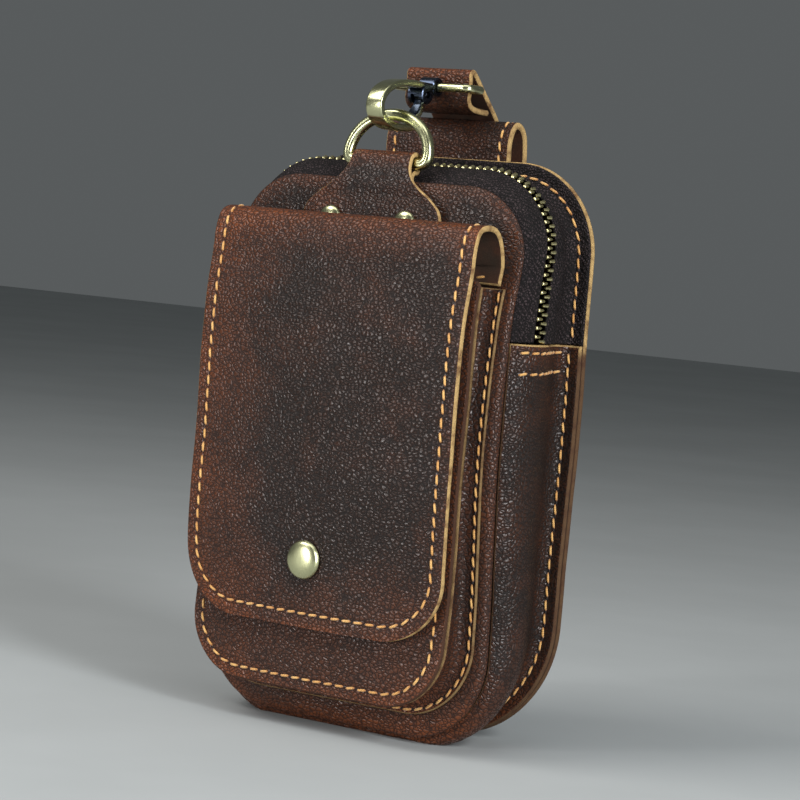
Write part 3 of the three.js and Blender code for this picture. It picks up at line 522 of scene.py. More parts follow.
def leather_sheet(name, grid, thickness, side, materials, wrap=False, seams=(), warm=None, dye_and_edge_highlight=None, body="bag"):
    """A sheet of leather or tape with rounded raw edges. The grid is its outer face, and side says where
    its thickness goes. Seams are lines of points on the outer face, which sinks along them."""
    rows, columns = grid.shape[:2]
    normals = grid_normals(grid, wrap)
    outer = grid.reshape(-1, 3).copy()
    flat_normals = normals.reshape(-1, 3)
    inner = outer + flat_normals * thickness * side
    if len(seams):
        sink = np.exp(-((nearest(outer, np.vstack(seams)) / seam_width) ** 2))
        outer += flat_normals * side * (seam_sink * sink)[:, None]
    index = np.arange(rows * columns).reshape(rows, columns)
    if wrap:
        border = list(index[0])
        out = unit(grid[0] - grid[1])
    else:
        border = list(index[0, :-1]) + list(index[:-1, -1]) + list(index[-1, :0:-1]) + list(index[:0:-1, 0])
        away = np.zeros((rows, columns, 3))
        away[0] += unit(grid[0] - grid[1])
        away[-1] += unit(grid[-1] - grid[-2])
        away[:, 0] += unit(grid[:, 0] - grid[:, 1])
        away[:, -1] += unit(grid[:, -1] - grid[:, -2])
        out = unit(away.reshape(-1, 3)[border])
    nominal_outer, nominal_inner = outer[border].copy(), inner[border].copy()
    radius = thickness * rim_share
    outer[border] -= out * radius
    inner[border] -= out * radius
    count = rows * columns
    parts = [outer, inner]
    bands = [np.array(border)]
    for k in range(1, rim_steps):
        t = k / rim_steps
        bulge = radius * (1 - abs(2 * t - 1) ** 2.5)
        line = nominal_outer * (1 - t) + nominal_inner * t - out * (radius - bulge)
        bands.append(sum(len(part) for part in parts) + np.arange(len(border)))
        parts.append(line)
    bands.append(np.array(border) + count)
    points = np.vstack(parts)
    faces, kinds = [], []
    flip = side > 0
    last = columns if wrap else columns - 1
    for i in range(rows - 1):
        for j in range(last):
            k = (j + 1) % columns
            face = [index[i, j], index[i, k], index[i + 1, k], index[i + 1, j]]
            faces.append(face[::-1] if flip else face)
            kinds.append(0)
            face = [p + count for p in face]
            faces.append(face if flip else face[::-1])
            kinds.append(1)
    if wrap:
        heights = grid[-1, :, 2]
        top = int(np.argmin(np.abs(grid[-1, :, 0]) - 1000 * (heights > heights.max() - 0.01)))
        half = columns // 2
        sides = [i for i in range(half) if heights.min() + 1 < heights[(top + i) % columns] < heights.max() - 1]
        spans = [(-sides[0], sides[0])] + [(i, i + 1) for i in sides[:-1]] + [(sides[-1], columns - sides[-1])]
        for start, stop in spans:
            rung = [index[-1, (top + step) % columns] for step in range(start, stop + 1)]
            if stop - start == 1:
                rung += [index[-1, (top - step) % columns] for step in (stop, start)]
            faces.append(rung[::-1] if flip else rung)
            kinds.append(0)
            rung = [p + count for p in rung]
            faces.append(rung if flip else rung[::-1])
            kinds.append(1)
    for first, second in zip(bands, bands[1:]):
        for k in range(len(border)):
            m = (k + 1) % len(border)
            face = [first[m], first[k], second[k], second[m]]
            faces.append(face[::-1] if flip else face)
            kinds.append(2)
    along = np.cumsum(np.pad(np.linalg.norm(np.diff(grid, axis=0), axis=2), ((1, 0), (0, 0))), axis=0)
    across = np.cumsum(np.pad(np.linalg.norm(np.diff(grid, axis=1), axis=2), ((0, 0), (1, 0))), axis=1)
    flat_uv = np.stack([across.ravel(), along.ravel()], axis=1)
    rim_uv = flat_uv[border]
    uvs = np.vstack([flat_uv, flat_uv] + [rim_uv] * (rim_steps - 1)) * METRES
    rim = np.minimum(nearest(outer, nominal_outer), 40)
    facts = {"rim": np.concatenate([rim, rim] + [np.zeros(len(border))] * (rim_steps - 1))}
    warmth = np.zeros(count) if warm is None else warm(outer[:, 0], outer[:, 1], outer[:, 2])
    facts["warm"] = np.concatenate([warmth, warmth] + [warmth[border]] * (rim_steps - 1))
    if len(seams):
        groove = np.concatenate([sink, np.zeros(count)] + [np.zeros(len(border))] * (rim_steps - 1))
        facts["groove"] = groove
    else:
        facts["groove"] = np.zeros(len(points))
    if dye_and_edge_highlight is not None:
        steps = np.repeat(np.arange(1, rim_steps) / rim_steps, len(border))
        across_edge = np.concatenate([np.zeros(count), np.ones(count), steps])
        facts["dye_and_edge_highlight"] = dye_and_edge_highlight(points[:, 2], across_edge)
    faces = [[int(p) for p in face] for face in faces]
    made = make_object(name, uneven(points), faces, kinds, materials, uvs, facts)
    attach(made, body)
    return made


# Thread
def stitch_line(points, normals, lead=0.5, pitch=stitch_pitch):
    """Places, directions and normals of the stitches along a line"""
    along = np.concatenate([[0], np.cumsum(np.linalg.norm(np.diff(points, axis=0), axis=1))])
    count = max(int((along[-1] - 2 * lead) / pitch), 1)
    places = lead + (np.arange(count) + 0.5) * (along[-1] - 2 * lead) / count

    def at(values, where):
        return np.stack([np.interp(where, along, values[:, axis]) for axis in range(3)], axis=-1)

    step = pitch * stitch_share / 2
    fractions = np.linspace(-1, 1, 9)
    lines = [at(points, place + fractions * step) for place in places]
    ups = [unit(at(normals, place + fractions * step)) for place in places]
    return list(zip(lines, ups))


def thread_stitches(name, lines, materials, seed, body="bag", slant=7):
    """All the stitches of some seams as one piece: each is a short arched thread between two needle holes"""
    draw = random.Random(seed)
    sides = 8
    points, faces, kinds, uvs, tints = [], [], [], [], []
    for line_points, line_normals in lines:
        for centre, ups in stitch_line(line_points, line_normals):
            start = len(points)
            steps = len(centre)
            middle = centre[steps // 2]
            up = ups[steps // 2]
            turn = math.radians(slant + draw.uniform(-4, 4))
            tint = draw.random()
            lift = draw.uniform(-0.05, 0.06)
            for k in range(steps):
                t = 2 * k / (steps - 1) - 1
                offset = centre[k] - middle
                side_way = np.cross(up, offset)
                place = middle + offset * math.cos(turn) + side_way * math.sin(turn)
                rise = 0.3 * (1 - t**4) - 0.22 + lift - seam_sink * 0.5
                place = place + ups[k] * rise
                before = centre[max(k - 1, 0)]
                after = centre[min(k + 1, steps - 1)]
                ahead = unit(after - before)
                ahead = unit(ahead * math.cos(turn) + np.cross(up, ahead) * math.sin(turn))
                across = unit(np.cross(ahead, ups[k]))
                swell_here = thread_radius * (1 - 0.55 * abs(t) ** 6)
                for s in range(sides):
                    angle = 2 * math.pi * s / sides
                    wide = math.cos(angle) * swell_here * 1.12
                    high = math.sin(angle) * swell_here * 0.9
                    points.append(place + across * wide + ups[k] * high)
                    uvs.append((s / sides, k / (steps - 1)))
                    tints.append(tint)
            for k in range(steps - 1):
                for s in range(sides):
                    n = (s + 1) % sides
                    a, b = start + k * sides, start + (k + 1) * sides
                    faces.append([a + s, b + s, b + n, a + n])
                    kinds.append(0)
            faces.append([start + s for s in range(sides)])
            faces.append([start + (steps - 1) * sides + s for s in reversed(range(sides))])
            kinds += [0, 0]
            # Needle holes at both ends: dark domes of painted shade.
            for end in (0, -1):
                hole = middle + (centre[end] - middle) * 1.16
                needle_hole(points, faces, kinds, uvs, tints, hole, ups[end], ahead, seam_sink)
    made = make_object(name, uneven(np.array(points)), faces, kinds, materials, uvs, {"tint": tints})
    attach(made, body)
    return made


def needle_hole(points, faces, kinds, uvs, tints, centre, up, ahead, sink):
    """A needle hole as painted shade: a small near-black dimple at a stitch's end, made as a low dome"""
    start = len(points)
    across = unit(np.cross(ahead, up))
    ahead = unit(np.cross(up, across))
    base = centre - up * (sink * 0.75)
    sides = 8
    for s in range(sides):
        angle = 2 * math.pi * s / sides
        points.append(base - up * 0.12 + 0.42 * (across * math.cos(angle) + ahead * math.sin(angle)))
    points.append(base + up * 0.05)
    points.append(base - up * 0.3)
    for s in range(sides):
        n = (s + 1) % sides
        faces.append([start + s, start + n, start + sides])
        faces.append([start + n, start + s, start + sides + 1])
        kinds.extend([1, 1])
    uvs.extend([(0, 0)] * (sides + 2))
    tints.extend([0] * (sides + 2))


# Metal
def sweep_mesh(path, plane_normal, section, closed=False):
    """Points and faces of a section swept along a path in a plane"""
    path = np.asarray(path, float)
    if closed:
        tangent = unit(np.roll(path, -1, axis=0) - np.roll(path, 1, axis=0))
    else:
        tangent = unit(np.gradient(path, axis=0))
    in_plane = unit(np.cross(tangent, plane_normal))
    sections = section if callable(section) else (lambda share: section)
    size = len(sections(0))
    points, faces = [], []
    for i, place in enumerate(path):
        for a, b in sections(i / (len(path) - 1)):
            points.append(place + in_plane[i] * a + np.asarray(plane_normal) * b)
    pairs = len(path) if closed else len(path) - 1
    for i in range(pairs):
        first, second = i * size, ((i + 1) % len(path)) * size
        for j in range(size):
            k = (j + 1) % size
            faces.append([first + j, first + k, second + k, second + j])
    if not closed:
        faces.append([j for j in reversed(range(size))])
        faces.append([(len(path) - 1) * size + j for j in range(size)])
    return points, faces


def round_section(radius, sides, squeeze=1.0):
    return [
        (radius * math.cos(2 * math.pi * s / sides), radius * squeeze * math.sin(2 * math.pi * s / sides))
        for s in range(sides)
    ]


def rounded_box_section(thickness, width, radius, steps=4):
    """A rectangle with rounded corners"""
    points = []
    for turn, (sign_a, sign_b) in enumerate([(1, 1), (-1, 1), (-1, -1), (1, -1)]):
        for k in range(steps + 1):
            angle = math.pi / 2 * (turn + k / steps)
            points.append((
                sign_a * (thickness / 2 - radius) + radius * math.cos(angle),
                sign_b * (width / 2 - radius) + radius * math.sin(angle),
            ))
    return points


def metal_piece(name, points, faces, material, node, body):
    made = make_object(name, points, faces, [0] * len(faces), [material])
    outward(made)
    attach(made, body)
    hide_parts(node)
    return made


def outward(made):
    """Turns a closed mesh's faces out and shades its edges by their angle"""
    import bmesh

    work = bmesh.new()
    work.from_mesh(made.data)
    bmesh.ops.remove_doubles(work, verts=work.verts, dist=1e-7)
    bmesh.ops.recalc_face_normals(work, faces=work.faces)
    work.to_mesh(made.data)
    work.free()
    made.data.polygons.foreach_set("use_smooth", [True] * len(made.data.polygons))
    made.data.set_sharp_from_angle(angle=math.radians(38))
    made.data.update()


def turned_mesh(profile, x, z, sides=56):
    """Points and faces of a profile of (radius, depth) turned round an axis along Y"""
    points, faces = [], []
    for s in range(sides):
        angle = 2 * math.pi * s / sides
        for radius, depth in profile:
            points.append((x + radius * math.cos(angle), depth, z + radius * math.sin(angle)))
    size = len(profile)
    for s in range(sides):
        first, second = s * size, ((s + 1) % sides) * size
        for j in range(size - 1):
            faces.append([first + j, first + j + 1, second + j + 1, second + j])
    return points, faces


def round_profile(profile, radius=0.25):
    """Rounds a profile's corners a little"""
    rounded = [profile[0]]
    for before, corner, after in zip(profile, profile[1:], profile[2:]):
        corner_place = Vector(corner)
        back = Vector(before) - corner_place
        ahead = Vector(after) - corner_place
        reach = min(radius, back.length / 3, ahead.length / 3)
        start = corner_place + back.normalized() * reach
        end = corner_place + ahead.normalized() * reach
        for t in (0, 0.33, 0.67, 1):
            place = start * (1 - t) ** 2 + corner_place * 2 * t * (1 - t) + end * t**2
            rounded.append((place.x, place.y))
    rounded.append(profile[-1])
    return rounded


# Soft pieces
def wall_points(end, cut_height, rows, thickness, flanged, counts=body_counts):
    """The outer face of the wall round the bag as control points, one row of them for each station"""
    front = run(front_shape, 0, cut_height, end, counts)
    back = run(back_shape, 0, cut_height, end, counts)
    foot = run(back_shape, flange_width - flange_turn, cut_height, end, counts)
    edge = run(back_shape, clearance, cut_height, end, counts)
    seam = seam_at(front[:, 1]) + clearance / 2
    on_panel = back_at(back[:, 1]) - clearance - thickness
    share = np.abs(front[:, 3])
    columns = []
    for along, out, over in zip(rows["along"], rows["out"], rows["over"]):
        bulge = wall_bulge * (out + (over - out) * share)
        x = front[:, 0] + (back[:, 0] - front[:, 0]) * along + front[:, 2] * bulge
        z = front[:, 1] + (back[:, 1] - front[:, 1]) * along + front[:, 3] * bulge
        columns.append(points_of(x, seam + (on_panel - seam) * along, z))
    if flanged:
        columns.append(points_of(foot[:, 0], on_panel - clearance / 2, foot[:, 1]))
        columns.append(points_of(edge[:, 0], on_panel, edge[:, 1]))
    grid = np.stack(columns, axis=1)
    grid[:, :, 2] = np.maximum(grid[:, :, 2], 0)
    return grid


def smooth_rows(grid, count):
    smoothed = np.stack([smooth(row, count) for row in grid])
    smoothed[:, :, 2] = np.maximum(smoothed[:, :, 2], 0)
    return smoothed


def closeness(distance, reach):
    """One at no distance, falling to nothing at the reach"""
    return np.clip(1 - np.abs(distance) / reach, 0, 1) ** 1.5


def dyed_below_zip(z, across_edge):
    return 0.9 * eased((zip_end - z) / 4)


def back_seam_lines(face):
    """The seam round the back outline: on the flanges, or on the back panel's rear"""
    lines = []
    for end, cut, thickness in ((1, zip_end + 1.5, tape_thickness), (-1, zip_end - 1.5, hide)):
        stations = run(back_shape, back_seam_inset, cut, end, body_counts)
        x, z = stations[:, 0], stations[:, 1]
        if face == "rear":
            y, way = back_at(z) + hide, 1
        else:
            y, way = back_at(z) - clearance - thickness, -1
        normals = points_of(0 * x, 0 * x + way, 0 * x)
        lines.append((points_of(x, y, z), normals))
    return lines


def back_panel(materials):
    lines = back_seam_lines("rear")
    insets = np.concatenate([np.linspace(0, 9, 12), np.linspace(12, 36, 10)])
    rings = []
    for inset in insets:
        stations = ring(back_shape, inset, zip_end, body_counts)
        rings.append(points_of(stations[:, 0], back_at(stations[:, 1]) + hide, stations[:, 1]))

    def warm(x, y, z):
        return 0.25 + 0.5 * closeness(inset_of(back_shape, x, z), 12)

    seams = [line[0] for line in lines]
    made = leather_sheet("back_leather", np.array(rings), hide, 1, materials, True, seams, warm, dyed_below_zip)
    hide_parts("back_panel")
    return made, lines


def front_panel(materials):
    places = smooth(np.stack([roll_rows["inset"], roll_rows["rise"] * panel_puff], axis=1), 76)
    rings = []
    for inset, rise in zip(places[:, 0], places[:, 1] / panel_puff):
        stations = ring(front_shape, inset, zip_end, body_counts)
        x, z = stations[:, 0], stations[:, 1]
        rings.append(points_of(x, swell(x, z, inset, rise) - clearance / 2, z))

    def warm(x, y, z):
        inset = inset_of(front_shape, x, z)
        return 0.15 + 0.5 * closeness(z - front_bottom_lift, 26) + 0.35 * closeness(inset - 1, 6)

    made = leather_sheet("front_leather", np.array(rings), hide, -1, materials, True, [], warm)
    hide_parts("front_panel")
    return made


def gusset(materials):
    control = wall_points(-1, zip_end, gusset_section, hide, True)
    grid = smooth_rows(control, 46)
    lines = [back_seam_lines("front")[1]]
    normals = grid_normals(grid, False)
    half = len(grid) // 2
    for height in gusset_rows:
        for rows in (slice(0, half), slice(None, half, -1)):
            heights = grid[rows, 0, 2]
            at = int(np.argmin(np.abs(heights - height)))
            lines.append((grid[rows][at, 3:-6], -normals[rows][at, 3:-6]))

    def warm(x, y, z):
        return 0.1 + 0.75 * closeness(z, 40) + 0.3 * closeness(z - zip_end, 12)

    seams = [line[0] for line in lines]
    made = leather_sheet("gusset_leather", grid, hide, 1, materials, False, seams, warm, dyed_below_zip)
    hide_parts("gusset")
    return made, lines


def zip_tape(name, node, rows, flanged, materials):
    section = {key: column[rows] for key, column in zip_section.items()}
    control = wall_points(1, zip_end + clearance, section, tape_thickness, flanged)
    grid = smooth_rows(control, 26)
    lines = [back_seam_lines("front")[0]] if flanged else []
    made = leather_sheet(name, grid, tape_thickness, -1, materials, False, [line[0] for line in lines])
    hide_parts(node)
    return made, lines


def pocket_face(materials):
    insets = np.concatenate([np.linspace(0, 8, 12), np.linspace(9, 41, 30)])
    rings = []
    for inset in insets:
        stations = ring(pocket_shape, inset, pocket_middle, pocket_counts)
        x, z = stations[:, 0], stations[:, 1]
        rings.append(points_of(x, pocket_at(x, z), z))
    stations = run(pocket_shape, pocket_seam_inset, pocket_top - 2, -1, pocket_counts)
    x, z = stations[:, 0], stations[:, 1]
    lines = [(points_of(x, pocket_at(x, z), z), facing(pocket_at, x, z))]

    def warm(x, y, z):
        low = closeness(z - pocket_bottom, 22)
        return 0.3 + 0.55 * low * closeness(np.abs(x) - 48, 60) + 0.3 * closeness(inset_of(pocket_shape, x, z), 8)

    # The edge is dark, except a thin pale line near its inner face: a painted highlight.
    def dye_and_edge_highlight(z, across_edge):
        return 1 - closeness(across_edge - 0.9, 0.35)

    made = leather_sheet("pocket_leather", np.array(rings), hide, -1, materials, True, [lines[0][0]], warm, dye_and_edge_highlight)
    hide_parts("pocket_face")
    return made, lines


def pocket_wall(materials):
    top = pocket_top - pocket_top_radius
    outline = {
        inset: run(pocket_shape, inset, top, -1, pocket_counts)
        for inset in (clearance, pocket_neck, pocket_neck / 2, -pocket_flange, wall_seam_inset - pocket_flange)
    }

    def on_panel(stations):
        x, z = stations[:, 0], stations[:, 1]
        return points_of(x, front_at(x, z) - resting_gap - thin_hide, z)

    edge, neck = outline[clearance], outline[pocket_neck]
    x, z = edge[:, 0], edge[:, 1]
    front = pocket_at(x, z) + hide + resting_gap
    foot = on_panel(outline[pocket_neck / 2])

    def depth(share):
        return front + (foot[:, 1] - front) * share

    toward = 0.75
    columns = [
        points_of(x, front, z),
        points_of(x, depth(0.12), z),
        points_of(x + (neck[:, 0] - x) * toward, depth(0.42), z + (neck[:, 1] - z) * toward),
        points_of(neck[:, 0], depth(0.75), neck[:, 1]),
        foot,
        on_panel(outline[-pocket_flange]),
    ]
    grid = smooth_rows(np.stack(columns, axis=1), 24)
    seam = outline[wall_seam_inset - pocket_flange]
    lines = [(on_panel(seam), facing(front_at, seam[:, 0], seam[:, 1]))]

    def warm(x, y, z):
        return 0.25 + 0.5 * closeness(z - pocket_bottom, 40)

    def dye_and_edge_highlight(z, across_edge):
        return np.full(len(z), 0.55)

    made = leather_sheet("pocket_side_leather", grid, thin_hide, 1, materials, False, [lines[0][0]], warm, dye_and_edge_highlight)
    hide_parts("pocket_wall")
    return made, lines


def flap(materials):
    back_end = fold_top - fold_height - flap_seam
    fold_base = fold_top - fold_height
    columns = 96
    shares = np.linspace(-1, 1, columns + 1)
    rows = []

    def layer_behind(x, z):
        return front_at(x, z) - resting_gap

    x = flap_half * shares
    for z in np.linspace(back_end, fold_base, 7)[:-1]:
        rows.append(points_of(x, layer_behind(x, z + 0 * x), z))
    span = 20
    fold = smooth(np.stack([
        fold_rows["across"] * span, fold_rows["up"] * fold_height, fold_rows["end"] * span,
    ], axis=1), 56)
    behind, before = layer_behind(x, fold_base + 0 * x), flap_at(x, fold_base + 0 * x)
    outer = eased((np.abs(x) - tab_base_half) / (flap_half - tab_base_half))
    for across, up, end in fold:
        share = (across + (end - across) * outer) / span
        rows.append(points_of(x, behind + (before - behind) * share, fold_base + up))
    fold_end = len(rows)
    corner_top = flap_bottom + flap_corner_radius
    for z in np.linspace(fold_base, corner_top, 78)[1:]:
        rows.append(points_of(x, flap_at(x, z + 0 * x), z))
    for angle in np.linspace(0, math.pi / 2, 30)[1:]:
        z = corner_top - flap_corner_radius * math.sin(angle)
        half = flap_half - flap_corner_radius * (1 - math.cos(angle))
        x_here = half * shares
        rows.append(points_of(x_here, flap_at(x_here, z + 0 * x_here), z))
    grid = np.array(rows)
    normals = grid_normals(grid, False)
    column = flap_seam_inset / (2 * flap_half) * columns
    low, part = int(column), column - int(column)
    side_lines = []
    for first, second in ((low, low + 1), (columns - low, columns - low - 1)):
        line = grid[:fold_end, first] * (1 - part) + grid[:fold_end, second] * part
        side_lines.append((line, -normals[:fold_end, first]))
    half, radius = flap_half - flap_seam_inset, flap_corner_radius - flap_seam_inset
    heights = np.linspace(fold_base, corner_top, 60)
    angles = np.linspace(0, math.pi / 2, 20)[1:]
    left = [(-half, z) for z in heights]
    left += [(-half + radius * (1 - math.cos(a)), corner_top - radius * math.sin(a)) for a in angles]
    left += [(x_, left[-1][1]) for x_ in np.linspace(radius - half, 0, 30)[1:-1]]
    front = np.array(left + [(-x_, z_) for x_, z_ in reversed(left)])
    x_front, z_front = front[:, 0], front[:, 1]
    front_line = points_of(x_front, flap_at(x_front, z_front), z_front)
    whole = np.vstack([side_lines[0][0][:-1], front_line, side_lines[1][0][::-1][1:]])
    whole_up = np.vstack([side_lines[0][1][:-1], facing(flap_at, x_front, z_front), side_lines[1][1][::-1][1:]])
    x_rear = np.linspace(-flap_half + 4, flap_half - 4, 60)
    z_rear = np.full(60, back_end + 2.4)
    rear = points_of(x_rear, front_at(x_rear, z_rear) - resting_gap - hide, z_rear)
    lines = [(whole, whole_up), (rear, facing(front_at, x_rear, z_rear))]

    def warm(x, y, z):
        # Warmer where the leather is pulled, at its edges and fold; the warmth on the left side is painted light
        # falling from the left.
        left_side = closeness(x + flap_half, 38)
        low_edge = closeness(z - flap_bottom, 30)
        fold_edge = closeness(z - fold_top, 16)
        right_edge = closeness(x - flap_half, 9)
        return 0.05 + 0.75 * left_side + 0.5 * low_edge + 0.75 * fold_edge + 0.25 * right_edge

    made = leather_sheet("flap_leather", grid, hide, 1, materials, False, [whole], warm)
    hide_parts("flap")
    return made, lines


def ring_tab(materials):
    shares = np.linspace(-1, 1, 49)
    flat_top = front_shape["top"] - tab_flat_drop
    edge = front_shape["top"] - tab_edge_drop
    rows = []

    def add(z, depth_at, inset=0):
        x = (tab_half_at(z) - inset) * shares
        rows.append(points_of(x, depth_at(x), z))

    for z in np.linspace(tab_base + tab_step, flat_top, 12):
        add(z, lambda x, z=z: tab_layer(x, z + 0 * x, 0), tab_rear_inset)
    wrap = [(ring_bar_height + tab_fold * math.sin(a), ring_bar_depth + tab_fold * math.cos(a))
            for a in np.radians(np.linspace(*tab_wrap, 40))]
    inner_depth = tab_layer(0 * shares, flat_top + 0 * shares, 0)[0]
    outer_depth = tab_layer(0 * shares, flat_top + 0 * shares, 1)[0]
    profile = [(flat_top, inner_depth), (edge, inner_depth)] + wrap[::4] + [(edge, outer_depth), (flat_top, outer_depth)]
    turn = smooth(np.array(profile), 64)[1:-1]
    for share, (z, y) in zip(np.linspace(0, 1, len(turn)), turn):
        add(z, lambda x, y=y: y + 0 * x, tab_rear_inset * (1 - share))
    for z in np.linspace(flat_top, tab_base, 16):
        add(z, lambda x, z=z: tab_layer(x, z + 0 * x, 1))

    def warm(x, y, z):
        # Warmer at the fold over the bar, where the leather is pulled; the warmth on the tab's left is painted light
        # falling from the left.
        return 0.15 + 0.7 * closeness(z - ring_bar_height - tab_fold, 7) + 0.4 * closeness(x + 20, 16)

    made = leather_sheet("tab_leather", np.array(rows), thin_hide, 1, materials, False, [], warm)
    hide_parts("ring_tab")
    return made


def strap_grid(profile, width, columns):
    x = np.linspace(-width / 2, width / 2, columns + 1)
    return np.stack([points_of(x, y, z) for y, z in profile])


def belt_loop(materials):
    height = loop_top - loop_bottom
    heights = loop_top + height * loop_rows["up"]
    depths = back_at(np.minimum(heights, bag_height)) + hide + resting_gap + loop_depth * loop_rows["back"]
    grid = strap_grid(smooth(np.stack([depths, heights], axis=1), 230), loop_width, 52)
    normals = grid_normals(grid, False)
    lines = []
    for sign in (-1, 1):
        column = int(round((sign * loop_seam_half / loop_width + 0.5) * 52))
        lines.append((grid[6:-3, column], normals[6:-3, column]))

    def warm(x, y, z):
        return 0.2 + 0.35 * closeness(np.abs(x) - loop_width / 2, 7)

    made = leather_sheet("loop_leather", grid, strap_hide, -1, materials, False, [line[0] for line in lines], warm)
    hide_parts("belt_loop")
    return made, lines


def hook_strap(materials):
    depths = strap_back - strap_reach * strap_rows["reach"]
    heights = loop_top + strap_rise * strap_rows["rise"]
    profile = [(strap_back, loop_top - strap_tail)] + list(zip(depths, heights))
    grid = strap_grid(smooth(np.array(profile), 150), strap_width, 30)
    normals = grid_normals(grid, False)
    lines = []
    for sign in (-1, 1):
        column = int(round((sign * (strap_width / 2 - 3) / strap_width + 0.5) * 30))
        lines.append((grid[4:34, column], -normals[4:34, column]))

    def warm(x, y, z):
        return 0.45 + 0.6 * closeness(z - loop_top - strap_rise, 8)

    made = leather_sheet("strap_leather", grid, hide, 1, materials, False, [line[0] for line in lines], warm)
    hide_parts("hook_strap")
    return made, lines


# Zip teeth: one bead-like tooth from each tape in turn
def zip_teeth(material):
    rows = wall_points(1, zip_end + clearance, zip_section, tape_thickness, False)
    edges = [rows[:, 2], rows[:, 3]]
    lengths = [np.concatenate([[0], np.cumsum(np.linalg.norm(np.diff(edge, axis=0), axis=1))]) for edge in edges]
    usable = lengths[0][-1] - slider_length - clearance
    count = 2 * int(usable / tooth_pitch)
    sections = (
        (0, 0.25, 0.3), (0.05, 0.48, 0.55), (0.16, 0.66, 0.74), (0.34, 0.66, 0.76), (0.52, 0.5, 0.6),
        (0.8, 0.5, 0.55), (1, 0.34, 0.35),
    )
    sides = 10
    points, faces = [], []

    def at(side, share):
        place = share * lengths[side][-1]
        return np.array([np.interp(place, lengths[side], edges[side][:, axis]) for axis in range(3)])

    for i in range(count):
        share = (i + 0.5) * tooth_pitch / 2 / lengths[0][-1]
        front, rear = at(0, share), at(1, share)
        ahead = unit(at(0, share + 0.004) - at(0, share - 0.004))
        across = unit(rear - front)
        outward_way = unit(np.cross(across, ahead))
        width = np.linalg.norm(rear - front) - 2 * chain_gap + 1.2
        foot = front + across * (chain_gap - 0.6) if i % 2 else rear - across * (chain_gap - 0.6)
        way = across if i % 2 else -across
        start = len(points)
        for reach, half_length, half_height in sections:
            centre = foot + way * (reach * width * 0.56) - outward_way * 0.35
            for s in range(sides):
                angle = 2 * math.pi * (s + 0.5) / sides
                c, d = math.cos(angle), math.sin(angle)
                points.append(centre + ahead * (half_length * c) + outward_way * (half_height * d))
        for k in range(len(sections) - 1):
            for s in range(sides):
                n = (s + 1) % sides
                a, b = start + k * sides, start + (k + 1) * sides
                faces.append([a + s, a + n, b + n, b + s])
        faces.append([start + s for s in reversed(range(sides))])
        faces.append([start + (len(sections) - 1) * sides + s for s in range(sides)])
    made = make_object("zip_beads", uneven(np.array(points)), faces, [0] * len(faces), [material])
    outward(made)
    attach(made, "bag")
    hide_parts("zip_teeth")
    return made


# Fittings
def fused(name, solids, cutters, bevel=0.0):
    """Joins closed meshes and cuts others out of them"""
    objects = []
    for part_name, (points, faces) in [("solid", mesh) for mesh in solids] + [("cutter", mesh) for mesh in cutters]:
        part = make_object(f"{name}_{part_name}_{len(objects)}", points, faces, [0] * len(faces), [])
        outward(part)
        objects.append(part)
    base = objects[0]
    for k, other in enumerate(objects[1:], start=1):
        modifier = base.modifiers.new("join", "BOOLEAN")
        modifier.operation = "UNION" if k < len(solids) else "DIFFERENCE"
        modifier.solver = "EXACT"
        modifier.object = other
    if bevel:
        rounding = base.modifiers.new("round", "BEVEL")
        rounding.width = bevel * METRES
        rounding.segments = 2
        rounding.limit_method = "ANGLE"
        rounding.angle_limit = math.radians(42)
        rounding.harden_normals = False
    bpy.context.view_layer.update()
    shaped = base.evaluated_get(bpy.context.evaluated_depsgraph_get())
    mesh = bpy.data.meshes.new_from_object(shaped)
    made = bpy.data.objects.new(name, mesh)
    bpy.context.scene.collection.objects.link(made)
    for part in objects:
        bpy.data.meshes.remove(part.data)
    return made


def dress(made, material, node, body):
    made.data.materials.clear()
    made.data.materials.append(material)
    outward(made)
    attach(made, body)
    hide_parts(node)
    return made


def bar_mesh(radius, width, y, z, sides=40):
    """A round bar along X with softened ends"""
    ease = min(0.3, radius / 4)
    points, faces = [], []
    profile = [(radius - ease, -width / 2), (radius, -width / 2 + ease), (radius, width / 2 - ease), (radius - ease, width / 2)]
    for r, x in profile:
        for s in range(sides):
            angle = 2 * math.pi * s / sides
            points.append((x, y + r * math.cos(angle), z + r * math.sin(angle)))
    for k in range(len(profile) - 1):
        for s in range(sides):
            n = (s + 1) % sides
            faces.append([k * sides + s, k * sides + n, (k + 1) * sides + n, (k + 1) * sides + s])
    faces.append(list(range(sides)))
    faces.append([(len(profile) - 1) * sides + s for s in reversed(range(sides))])
    return points, faces


def box_mesh(lowest, highest):
    points = [(x, y, z) for x in (lowest[0], highest[0]) for y in (lowest[1], highest[1]) for z in (lowest[2], highest[2])]
    faces = [[0, 1, 3, 2], [4, 6, 7, 5], [0, 4, 5, 1], [2, 3, 7, 6], [0, 2, 6, 4], [1, 5, 7, 3]]
    return points, faces


